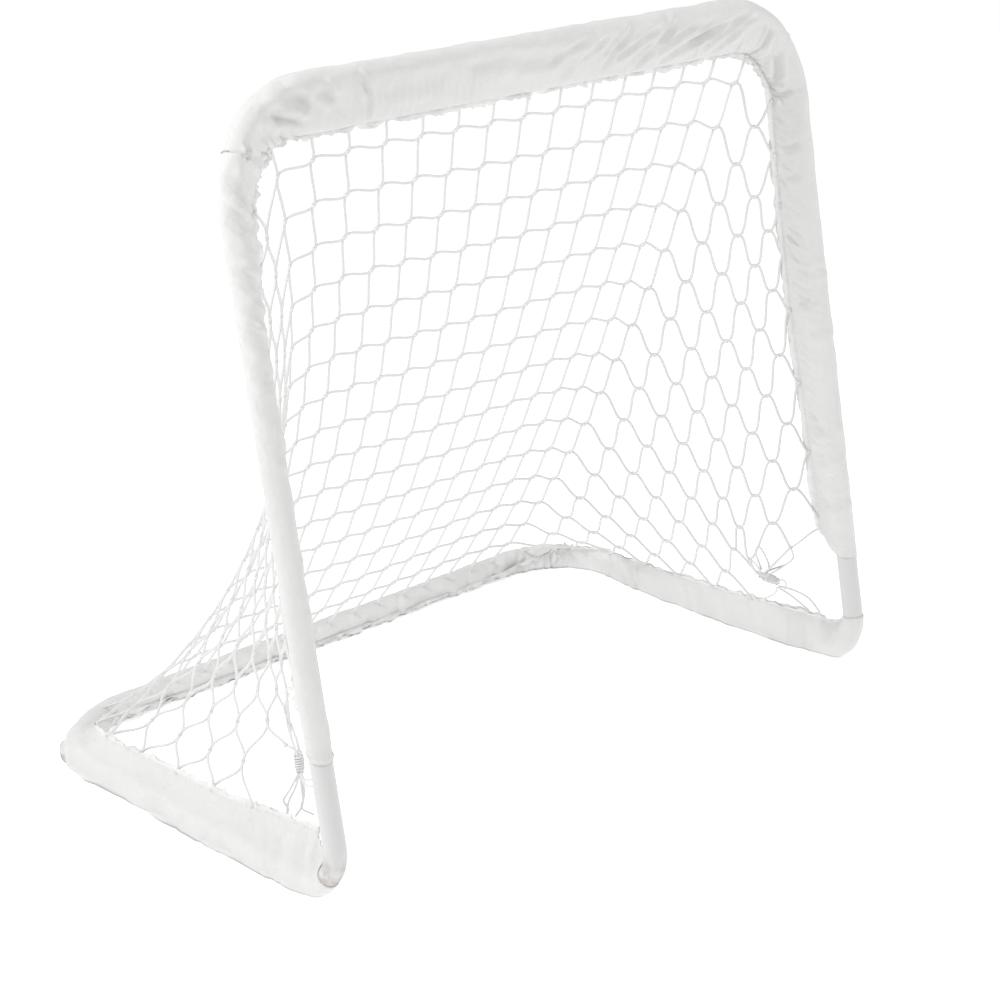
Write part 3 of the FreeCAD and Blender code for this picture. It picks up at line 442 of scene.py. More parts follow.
def tube_mesh(paths: Array, radius: float, sides: int) -> Mesh:
    """Round tubes carried along many paths at once, with pointed closed ends.

    Each ring's points are the path's point plus the radius times (cosine of the angle) along one
    square direction and (sine) along the other. The first direction is carried from ring to ring by
    taking away its part along the path.

    Args:
        paths: centre lines of shape (tubes, points, 3).
        radius: the tubes' radius.
        sides: corners of each ring.

    Returns:
        Vertices, faces and a place (length along, length round) for every vertex.
    """
    count, steps, _ = paths.shape
    forward = unit(np.gradient(paths, axis=1))
    chord = unit(paths[:, -1] - paths[:, 0] + 1e-9)
    spare = np.eye(3)[np.abs(chord).argmin(axis=1)]
    first = np.empty_like(paths)
    for step in range(steps):
        spare = unit(spare - forward[:, step] * (spare * forward[:, step]).sum(axis=1, keepdims=True))
        first[:, step] = spare
    second = np.cross(forward, first)
    angle = np.linspace(0.0, 2 * np.pi, sides, endpoint=False)
    rings = paths[:, :, None] + radius * (first[:, :, None] * np.cos(angle)[None, None, :, None]
                                          + second[:, :, None] * np.sin(angle)[None, None, :, None])
    tips = np.stack([paths[:, 0] - forward[:, 0] * radius, paths[:, -1] + forward[:, -1] * radius], axis=1)
    block = steps * sides
    corner = np.arange(sides)
    after = (corner + 1) % sides
    rows = np.arange(steps - 1)[:, None] * sides
    quads = np.stack([rows + corner, rows + after, rows + sides + after, rows + sides + corner], axis=-1)
    base = (np.arange(count) * block)[:, None, None]
    tip = count * block + 2 * np.arange(count)[:, None]
    first_ring, last_ring = base[:, 0], base[:, 0] + (steps - 1) * sides
    start_fan = np.stack(np.broadcast_arrays(first_ring + after, first_ring + corner, tip), axis=-1)
    end_fan = np.stack(np.broadcast_arrays(last_ring + corner, last_ring + after, tip + 1), axis=-1)
    length = run_lengths(paths)
    uv = np.stack(np.broadcast_arrays(length[:, :, None], angle * radius), axis=-1).reshape(-1, 2)
    start, end = length[:, 0], length[:, -1]
    tip_uv = np.stack([np.stack([start, start], 1), np.stack([end, start], 1)], axis=1)
    vertices = np.concatenate([rings.reshape(-1, 3), tips.reshape(-1, 3)])
    faces = [(quads[None] + base[..., None]).reshape(-1, 4), start_fan.reshape(-1, 3), end_fan.reshape(-1, 3)]
    return vertices, faces, np.concatenate([uv, tip_uv.reshape(-1, 2)])


def joined(parts: list[Mesh]) -> Mesh:
    """Put several meshes' vertices, faces and places together."""
    offset, faces = 0, []
    for vertices, blocks, _ in parts:
        faces += [block + offset for block in blocks]
        offset += len(vertices)
    return (np.concatenate([part[0] for part in parts]), faces, np.concatenate([part[2] for part in parts]))


def ring(axis: Array, angle: Array) -> Array:
    """Directions square to an axis: one by the angle's cosine and the other by its sine."""
    square = unit(np.cross(axis, [0.2, 0.9, 0.1]))
    return square * np.cos(angle) + np.cross(axis, square) * np.sin(angle)


def operator(operation: str, reflected: bool = False) -> Callable[["Wire", object], "Wire"]:
    """Make an operator of Wire.

    Args:
        operation: the Math node's operation.
        reflected: whether the wire is the operation's second value.

    Returns:
        A method that adds the Math node.
    """
    def apply(self: "Wire", other: object) -> "Wire":
        """Add the Math node."""
        return self.graph.math(operation, *((other, self) if reflected else (self, other)))
    return apply


class Wire:
    """A node's output that takes part in sums and products; each adds a Math node."""

    __add__, __radd__ = operator("ADD"), operator("ADD", True)
    __sub__, __rsub__ = operator("SUBTRACT"), operator("SUBTRACT", True)
    __mul__, __rmul__ = operator("MULTIPLY"), operator("MULTIPLY", True)

    def __init__(self, graph: "Graph", socket: bpy.types.NodeSocket) -> None:
        """Keep the output and its graph."""
        self.graph = graph
        self.socket = socket


class Graph:
    """A material and its nodes."""

    def __init__(self, name: str) -> None:
        """Start an empty material of a given name."""
        self.material = bpy.data.materials.new(name)
        self.material.use_nodes = True
        self.tree = self.material.node_tree
        self.tree.nodes.clear()

    def node(self, kind: str, settings: dict[str, object], inputs: dict[object, object],
             output: object = 0) -> Wire | None:
        """Add a node.

        Args:
            kind: the node's type.
            settings: its properties, set first.
            inputs: values or wires by socket name or number.
            output: the output to return, by name or number.

        Returns:
            The chosen output, or None from a node that ends the chain.
        """
        node = self.tree.nodes.new(kind)
        for name, value in settings.items():
            setattr(node, name, value)
        for key, value in inputs.items():
            if isinstance(value, Wire):
                self.tree.links.new(value.socket, node.inputs[key])
            else:
                node.inputs[key].default_value = value
        return Wire(self, node.outputs[output]) if len(node.outputs) else None

    def math(self, operation: str, *values: object) -> Wire:
        """One Math node."""
        return self.node("ShaderNodeMath", {"operation": operation}, dict(enumerate(values)))

    def part(self, place: Wire, axis: int) -> Wire:
        """One coordinate of a place."""
        return self.node("ShaderNodeSeparateXYZ", {}, {0: place}, axis)

    def ramp(self, factor: Wire, low: float, high: float) -> Wire:
        """0 below low, 1 above high, and a smooth rise between."""
        settings = {"interpolation_type": "SMOOTHSTEP"}
        return self.node("ShaderNodeMapRange", settings, {"Value": factor, "From Min": low, "From Max": high})

    def blend(self, factor: Wire, first: object, second: object) -> Wire:
        """Mix two colours."""
        return self.node("ShaderNodeMix", {"data_type": "RGBA"}, {0: factor, 6: first, 7: second}, 2)

    def noise(self, where: Wire, scale: float, detail: float = 3.0) -> Wire:
        """Cloudy noise from 0 to 1."""
        return self.node("ShaderNodeTexNoise", {}, {"Vector": where, "Scale": scale, "Detail": detail}, "Fac")

    def bump(self, height: Wire, distance: float, strength: float = 1.0) -> Wire:
        """A normal bent by a height."""
        inputs = {"Height": height, "Distance": distance, "Strength": strength}
        return self.node("ShaderNodeBump", {}, inputs, "Normal")

    def finish(self, **inputs: object) -> bpy.types.Material:
        """End in a Principled shader; underscores in names stand for spaces."""
        named = {key.replace("_", " "): value for key, value in inputs.items()}
        shader = self.node("ShaderNodeBsdfPrincipled", {}, named)
        self.node("ShaderNodeOutputMaterial", {}, {"Surface": shader})
        return self.material

    def object_place(self) -> Wire:
        """Object coordinates, in metres."""
        return self.node("ShaderNodeTexCoord", {}, {}, "Object")

    def cloth_place(self) -> Wire:
        """The piece's own UV map, in metres along and round the cloth."""
        return self.node("ShaderNodeUVMap", {"uv_map": "cloth"}, {})


def opaque(colour: Colour, share: float = 1.0) -> tuple[float, ...]:
    """A colour with full cover, darkened to a share of itself."""
    return tuple(value * share for value in colour) + (1.0,)


WHITE = opaque((1.0, 1.0, 1.0))


@dataclass(frozen=True)
class SleeveCloth:
    """Thin white polyester cloth, with a painted glow of light on its raw hem and painted contact shade low
    down near the floor.
    """

    colour: Colour = (0.775, 0.775, 0.767)
    threads_per_metre: float = 1500.0
    hem_width: float = 0.009
    seam: float = 0.0078
    stitch: float = 0.0062
    # painted light: strength of the white glow that the raw hem emits
    painted_hem_glow: float = 0.10
    # painted contact shade: how dark the cloth is painted low down, its colour, and the heights where it is
    # full and where it has gone
    painted_contact_shade: float = 0.35
    painted_contact_shade_colour: Colour = (0.10, 0.10, 0.10)
    painted_contact_shade_low: float = 0.0012
    painted_contact_shade_top: float = 0.0034

    def material(self) -> bpy.types.Material:
        """Two crossed waves for the weave, blotches, a dashed seam, a painted glow of light on the hem, and
        painted contact shade low down near the floor.
        """
        # the copy without the hem's glow is the darker copy of the cloth, with stronger painted contact shade
        graph = Graph("sleeve_cloth" if self.painted_hem_glow else "sleeve_cloth_painted_shade")
        place = graph.cloth_place()
        length, inside = graph.part(place, 0), graph.part(place, 1)
        turn = 2 * math.pi * self.threads_per_metre
        weave = graph.math("SINE", length * turn) * graph.math("SINE", inside * turn)
        cloud = graph.noise(graph.object_place(), 22.0)
        base = graph.blend(cloud, opaque(self.colour, 0.93), opaque(self.colour))
        crumple = graph.noise(graph.object_place(), 75.0, 4.0)
        from_seam = graph.math("ABSOLUTE", inside - self.seam)
        dash = graph.math("SINE", length * (2 * math.pi / self.stitch))
        stitches = (1 - graph.ramp(from_seam, 0.0003, 0.0009)) * graph.ramp(dash, -0.5, 0.1)
        pucker = (1 - graph.ramp(from_seam, 0.0, 0.006)) * dash
        base = graph.blend(stitches * 0.5, base, (0.88, 0.88, 0.87, 1.0))
        # painted contact shade: darker where the cloth lies lowest, near the floor
        above = graph.part(graph.object_place(), 2)
        contact_shade = self.painted_contact_shade - self.painted_contact_shade * graph.ramp(above, self.painted_contact_shade_low, self.painted_contact_shade_top)
        base = graph.blend(contact_shade, base, opaque(self.painted_contact_shade_colour))
        height = (weave * 0.00010 + crumple * 0.0035 + graph.noise(graph.object_place(), 260.0) * 0.0005
                  + stitches * 0.0005 + pucker * 0.0002)
        # painted light: a white glow along the raw hem's strip, standing in for light through the thin cloth
        ragged = inside + graph.noise(graph.object_place(), 300.0) * 0.003
        solid = graph.ramp(ragged, 0.003, self.hem_width)
        painted_hem_glow = graph.blend(solid, WHITE, opaque((0.0, 0.0, 0.0)))
        return graph.finish(Base_Color=base, Roughness=0.82, Normal=graph.bump(height, 1.0, 0.8),
                            Emission_Color=painted_hem_glow, Emission_Strength=self.painted_hem_glow, Sheen_Weight=0.15)


@dataclass(frozen=True)
class NetTwine:
    """White twisted polyester twine."""

    colour: Colour = (0.75, 0.75, 0.745)
    lay: float = 0.0052
    strand: float = 0.0025

    def material(self) -> bpy.types.Material:
        """Strands as a slanting wave in the cord's own length and girth, for the bump and for painted shade in
        the grooves between them.
        """
        graph = Graph("net_twine")
        place = graph.cloth_place()
        phase = (graph.part(place, 0) * (2 * math.pi / self.lay)
                 + graph.part(place, 1) * (2 * math.pi / self.strand))
        strands = graph.math("SINE", phase)
        # painted shade: the twine's colour darkens in the grooves between its strands
        base = graph.blend(graph.ramp(strands, -1.0, 0.2), opaque(self.colour, 0.92), opaque(self.colour))
        return graph.finish(Base_Color=base, Roughness=0.7, Normal=graph.bump(strands, 0.0003, 0.35),
                            Sheen_Weight=0.2)


@dataclass(frozen=True)
class TubePaint:
    """White powder paint on the tubes, with a darker brownish grey mottled patch of painted shade at the left
    elbow.
    """

    colour: Colour = (0.62, 0.62, 0.615)
    # painted shade: colour, centre and size of the darker mottled patch at the left elbow
    scuff: Colour = (0.40, 0.37, 0.335)
    elbow_shade_place: Point = (-0.452, -0.272, 0.020)
    elbow_shade_size: float = 0.048

    def material(self) -> bpy.types.Material:
        """Orange-peel bump everywhere, and a brownish grey mottle of painted shade that fades away from the
        elbow.
        """
        graph = Graph("tube_paint")
        place = graph.object_place()
        away = graph.node("ShaderNodeVectorMath", {"operation": "DISTANCE"},
                          {0: place, 1: self.elbow_shade_place}, "Value")
        mottle = graph.noise(place, 60.0, 5.0)
        # painted shade: the paint is mottled darker near the elbow patch's centre
        near = 1 - graph.ramp(away, self.elbow_shade_size * 0.3, self.elbow_shade_size)
        base = graph.blend(near * graph.ramp(mottle, 0.35, 0.65), opaque(self.colour), opaque(self.scuff))
        peel = graph.noise(place, 900.0, 2.0)
        rough = 0.38 + graph.noise(place, 30.0) * 0.12
        return graph.finish(Base_Color=base, Roughness=rough, Normal=graph.bump(peel, 0.0002, 0.4))


@dataclass(frozen=True)
class SpringSteel:
    """Bright zinc-plated spring steel."""

    colour: Colour = (0.62, 0.63, 0.65)
    grain_scale: Point = (40.0, 900.0, 900.0)

    def material(self) -> bpy.types.Material:
        """Fine drawing lines as stretched noise in roughness and bump."""
        graph = Graph("spring_steel")
        place = graph.node("ShaderNodeMapping", {}, {"Vector": graph.object_place(), "Scale": self.grain_scale})
        grain = graph.noise(place, 1.0)
        return graph.finish(Base_Color=opaque(self.colour), Metallic=1.0, Roughness=0.22 + grain * 0.2,
                            Normal=graph.bump(grain, 0.0001, 0.3))


@dataclass(frozen=True)
class Drape:
    """Loose cloth settling round a tube.

    The cloth is a grid of points. In every step each point keeps part of its motion and falls by its
    weight; then neighbours are moved along the line between them until they are the cloth's own
    distance apart, a share of each point's distance from the mean of its neighbours is taken away as
    the cloth's stiffness, and points inside the tube or the floor are moved out.
    """

    gather: float = 0.03
    slack: float = 0.35
    steps: int = 60
    passes: int = 5
    stiffness: float = 0.10
    drag: float = 0.80
    fall: float = 0.00012
    clearance: float = 0.0006

    def settle(self, points: Array, axis: Array, forward: Array, step: float) -> Array:
        """Let the cloth settle.

        Args:
            points: the cloth's grid, of shape (n, m, 3), its first and last columns held at the hem.
            axis: the tube's centre line at each row, of shape (n, 3).
            forward: the tube's directions, of shape (n, 3).
            step: the flat cloth's distance between rows.

        Returns:
            The settled grid.
        """
        along = np.linalg.norm(np.diff(points, axis=0), axis=2)
        rest_along = (along + self.slack * np.maximum(step - along, 0.0)) * (1 + self.gather)
        rest_around = np.linalg.norm(np.diff(points, axis=1), axis=2)
        free = np.ones(points.shape[:2])
        free[:, 0] = free[:, -1] = 0.0
        free[0] = free[-1] = 0.0
        cloth, before = points.copy(), points.copy()
        for _ in range(self.steps):
            motion = (cloth - before) * self.drag
            motion[..., 2] -= self.fall
            before = cloth.copy()
            cloth = cloth + motion * free[..., None]
            for _ in range(self.passes):
                self._keep(cloth, free, rest_along)
                self._keep(cloth.swapaxes(0, 1), free.T, rest_around.T)
            self._stiffen(cloth, free)
            self.clear(cloth, free, axis, forward)
        return cloth

    def _keep(self, cloth: Array, free: Array, rest: Array) -> None:
        """Bring neighbours along the first axis to their distance, even pairs and then odd ones."""
        for first in (0, 1):
            lower, upper = slice(first, len(cloth) - 1, 2), slice(first + 1, len(cloth), 2)
            apart = cloth[upper] - cloth[lower]
            size = np.maximum(np.linalg.norm(apart, axis=2), 1e-9)
            share = free[lower] + free[upper] + 1e-9
            change = apart * ((size - rest[lower]) / size / share)[..., None] * 0.9
            cloth[lower] += change * free[lower][..., None]
            cloth[upper] -= change * free[upper][..., None]

    def _stiffen(self, cloth: Array, free: Array) -> None:
        """Move inner points towards the mean of their neighbours."""
        inner = cloth[1:-1, 1:-1]
        mean = (cloth[:-2, 1:-1] + cloth[2:, 1:-1] + cloth[1:-1, :-2] + cloth[1:-1, 2:]) / 4
        inner += (mean - inner) * self.stiffness * free[1:-1, 1:-1, None]

    def clear(self, cloth: Array, free: Array, axis: Array, forward: Array) -> None:
        """Move points out of the tube and the floor."""
        off = cloth - axis[:, None]
        off = off - forward[:, None] * (off * forward[:, None]).sum(axis=2, keepdims=True)
        distance = np.linalg.norm(off, axis=2, keepdims=True)
        short = np.maximum(SIZES.tube_radius + self.clearance - distance, 0.0)
        cloth += off / np.maximum(distance, 1e-6) * short * (free > 0)[..., None]
        cloth[..., 2] = np.maximum(cloth[..., 2], self.clearance)


def refined(grid: Array) -> Array:
    """Double a grid along its first axis: a new point is 9/16 of each neighbour less 1/16 of the next ones."""
    padded = np.concatenate([2 * grid[:1] - grid[1:2], grid, 2 * grid[-1:] - grid[-2:-1]])
    middle = (9 * (padded[1:-2] + padded[2:-1]) - padded[:-3] - padded[3:]) / 16
    doubled = np.empty((2 * len(grid) - 1,) + grid.shape[1:])
    doubled[::2], doubled[1::2] = grid, middle
    return doubled


def hand_over(piece: bpy.types.Object, material: bpy.types.Material, nodes: list[str]) -> None:
    """Dress a piece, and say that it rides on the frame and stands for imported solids.

    Args:
        piece: the finished object.
        material: its finish.
        nodes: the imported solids' names.
    """
    piece.data.materials.append(material)
    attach(piece, BODY)
    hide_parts(*nodes)


class Seats:
    """The shaped sleeves and bare tube, on which sewn and tied ends are set down."""

    def __init__(self) -> None:
        """Start without surfaces."""
        self.surfaces: dict[str, Array] = {}

    def add(self, name: str, points: Array) -> None:
        """Keep a surface's points."""
        self.surfaces[name] = points.reshape(-1, 3)

    def nearest(self, place: Array, reach: float = 0.025) -> Array:
        """The surface point nearest to a place, or the place itself where none is within reach."""
        points = np.concatenate(list(self.surfaces.values()))
        away = np.linalg.norm(points - place, axis=1)
        return points[away.argmin()] if away.min() < reach else place

    def in_line(self, place: Array, name: str) -> Array:
        """The nearest point of one surface in line with a place as the camera sees it."""
        ray = unit(place - np.array(STUDIO.camera_place))
        off = self.surfaces[name] - place
        depth = off @ ray
        beside = np.linalg.norm(off - ray * depth[:, None], axis=1)
        close = beside < beside.min() + 0.0015
        return self.surfaces[name][close][np.abs(depth[close]).argmin()]


SEATS = Seats()


@dataclass
class Sleeve:
    """A loose cloth sleeve: one sheet folded round its tube, both edges sewn together at the hem.

    snug gives the lengths over which the sleeve widens from a tight start and end, and pinch how much
    the two layers beyond the tube are pressed together there. Across the sheet the section runs from one
    raw edge to the seam, round the tube and back to the other raw edge. Its shape is the belt round the
    tube's circle, the seam's, the loose fold's on the floor and the loose ridge's on top. Folds lift it
    outwards, most where it hangs free of the tube. waves are the sizes of the hem's ruffles, ragged those
    of its uneven edge, crumple the depth of small dents and dent their size along and round.
    """

    name: str
    node: str
    hem: Hem
    start: float
    end: float
    folds: tuple[Folds | Crease, ...]
    pinch: float = 0.0
    snug: tuple[float, float] = (0.0, 0.0)
    flare: tuple[float, float] = (0.0, 0.0)
    lead: float = 0.0
    fade: float = 0.020
    ruffle: float = 0.0022
    scallop: float = 0.0018
    flap: float = 0.008
    play: float = 0.0016
    cloth: float = 0.0006
    step: float = 0.0056
    round_points: int = 34
    drape: Drape = Drape()
    finish: bpy.types.Material | None = None
    flap_points: int = 5
    seed: int = 1
    fold_radius: float = 0.0035
    lead_run: float = 0.050
    flare_run: float = 0.028
    pinch_run: float = 0.060
    seam_radius: float = 0.0009
    seam_run: float = 0.012
    waves: tuple[float, float] = (0.0095, 0.0043)
    ragged: tuple[float, float] = (0.014, 0.0055)
    crumple: float = 0.0009
    dent: tuple[float, float] = (0.018, 0.016)

    def build(self) -> bpy.types.Object:
        """Make the sleeve's sheet.

        Returns:
            The sleeve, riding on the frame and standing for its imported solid.
        """
        body, axis, to_hem, across, along = self.cloth_shape()
        sheet = np.concatenate([self._flap(body[:, 0], to_hem, across, along, 1)[:, ::-1], body,
                                self._flap(body[:, -1], to_hem, across, along, -1)], axis=1)
        sheet[..., 2] = np.maximum(sheet[..., 2], self.cloth)
        SEATS.add(self.name, sheet)
        places = self._places(sheet)
        faces = grid_faces(*sheet.shape[:2])
        piece = new_piece(self.name, sheet, [faces], places)
        self._face_outwards(piece, sheet, axis)
        wall = piece.modifiers.new("cloth", "SOLIDIFY")
        wall.thickness = self.cloth
        wall.offset = 0.0
        hand_over(piece, self.finish or CLOTH, [self.node])
        return piece

    def cloth_shape(self) -> tuple[Array, ...]:
        """Shape the cloth between its seams.

        Returns:
            The grid of points, and for each row the tube's centre, the directions to the hem and across
            it, and the metres along the sleeve.
        """
        rail = self.hem.rail
        count = int(abs(self.end - self.start) / self.step) + 1
        length = np.linspace(self.start, self.end, count)
        axis, forward = rail.at(length), rail.along(length)
        to_hem = self.hem.direction(length)
        to_hem = unit(to_hem - forward * (to_hem * forward).sum(axis=1, keepdims=True))
        across = np.cross(forward, to_hem)
        outline = self._outline(length, axis, to_hem, across)
        shape = (axis[:, None] + to_hem[:, None] * outline[..., :1] + across[:, None] * outline[..., 1:])
        near = 1 - smoothstep(np.abs(length - self.start) / self.lead_run)
        ahead = self.lead * near[:, None] * smoothstep((outline[..., 0] - 0.004) / 0.020)
        shape = shape - forward[:, None] * ahead[..., None]
        settled = self.drape.settle(shape, axis, forward, float(abs(length[1] - length[0])))
        body = refined(refined(settled).swapaxes(0, 1)).swapaxes(0, 1)
        axis, forward, to_hem, across, along = (refined(part) for part in
                                                (axis, forward, to_hem, across, np.abs(length - self.start)))
        body = self._folded(body, axis, forward, along)
        return body, axis, to_hem, across, along

    def _outline(self, length: Array, axis: Array, to_hem: Array, across: Array) -> Array:
        """The section at each place, in metres along the hem's direction and across it."""
        count = len(length)
        seam = self.hem.value("reach", length) - self.flap
        past = np.stack([np.abs(length - self.start), np.abs(self.end - length)])
        loose = self._loose(past)
        wide = (np.array(self.flare)[:, None] * (1 - smoothstep(past / self.flare_run))).sum(axis=0)
        tube = SIZES.tube_radius + 0.0002 + (self.play + self.hem.value("puff", length)) * loose + wide
        centres = np.zeros((count, 4, 2))
        radii = np.repeat(tube[:, None], 4, axis=1)
        centres[:, 1, 0] = np.maximum(seam, 0.004)
        radii[:, 1] = self.seam_radius
        fold = self.fold_radius
        spread = self.hem.value("spread", length)
        outside = -self.hem.rail.inward(length) * np.sign(spread)[:, None]
        floor = outside * np.maximum(np.abs(spread) - fold, 0.0)[:, None] * np.ones(3)
        floor[:, 2] += fold - axis[:, 2]
        lies = smoothstep((np.abs(spread) - SIZES.tube_radius * 0.9) / 0.004)
        crest = self.hem.value("crest", length)
        ridge = self.hem.rail.aside(length) * np.maximum(crest - fold, 0.0)[:, None]
        stands = smoothstep((crest - tube) / 0.004)
        for number, place, share in ((2, floor, lies), (3, ridge, stands)):
            centres[:, number, 0] = (place * to_hem).sum(axis=1) * share
            centres[:, number, 1] = (place * across).sum(axis=1) * share
            radii[:, number] = tube + (fold - tube) * share
        outline = belt_sections(centres, radii, self.round_points)
        pressed = self.pinch * smoothstep((outline[..., 0] - SIZES.tube_radius * 0.7) / 0.010)
        pressed = pressed * (1 - smoothstep(past.min(axis=0) / self.pinch_run))[:, None]
        outline[..., 1] *= 1 - pressed
        return outline

    def _loose(self, past: Array) -> Array:
        """From 0 at a tight end to 1 further in, from the lengths past the start and the end."""
        return smoothstep(past / np.maximum(np.array(self.snug), 1e-6)[:, None]).prod(axis=0)

    def _folded(self, body: Array, axis: Array, forward: Array, along: Array) -> Array:
        """Lift the settled cloth into its folds, most where it hangs free, and keep it off the tube."""
        girth = run_lengths(body)
        total = girth[:, -1:]
        around = girth - total / 2
        along = along[:, None] * np.ones_like(around)
        normal = unit(np.cross(np.gradient(body, axis=0), np.gradient(body, axis=1)))
        outward = np.sign(((body - axis[:, None]) * normal).sum())
        height = sum(fold.height(along, around) for fold in self.folds)
        height = height + self.crumple * Noise(self.seed).at(along / self.dent[0], around / self.dent[1])
        height = height * smoothstep(np.minimum(girth, total - girth) / self.seam_run)
        height = height * smoothstep(0.1 + np.minimum(along, along.max() - along) / self.fade)
        folded = body + normal * outward * height[..., None]
        self.drape.clear(folded, np.ones(girth.shape), axis, forward)
        return folded

    def _flap(self, seam: Array, to_hem: Array, across: Array, along: Array, layer: int) -> Array:
        """One layer of the raw hem beyond the seam, ruffled sideways more towards its edge."""
        noise = Noise(self.seed + 40)
        out = np.linspace(0.0, 1.0, self.flap_points + 1)[None, 1:]
        wave = noise.waves(along[:, None], self.waves, (0.0, 7.0))
        ragged = noise.waves(along[:, None], self.ragged, (3.0 + layer, 11.0 + layer))
        width = self.flap + self.scallop * ragged - 0.0008
        past = np.stack([along, along.max() - along])
        width = width * (0.2 + 0.8 * self._loose(past)[:, None])
        sway = self.ruffle * wave * out ** 1.4 + layer * self.cloth * (0.6 + 0.9 * out)
        lean = (to_hem[:, None] * (out * width)[..., None])
        return seam[:, None] + lean + across[:, None] * sway[..., None]

    def _places(self, sheet: Array) -> Array:
        """Each point's place on the cloth: metres along the sleeve, and metres in from the nearer raw edge."""
        down = np.linalg.norm(np.diff(sheet, axis=0), axis=2).mean(axis=1)
        over = np.linalg.norm(np.diff(sheet, axis=1), axis=2).mean(axis=0)
        along = np.concatenate([[0.0], np.cumsum(down)])[:, None]
        across = np.concatenate([[0.0], np.cumsum(over)])[None]
        from_edge = np.minimum(across, across[:, -1:] - across)
        return np.stack(np.broadcast_arrays(along, from_edge), axis=-1)

    def _face_outwards(self, piece: bpy.types.Object, sheet: Array, axis: Array) -> None:
        """Turn the faces over if they look at the tube."""
        back = sheet.shape[1] // 2
        row = sheet.shape[0] // 2
        corner = sheet[row, back]
        cross = np.cross(sheet[row + 1, back] - corner, sheet[row, back + 1] - corner)
        if cross @ (corner - axis[row]) < 0:
            piece.data.flip_normals()


TIE_PLACES = {Side.LEFT: (-0.385, -0.1405, 0.100), Side.RIGHT: (0.378, -0.1805, 0.110)}


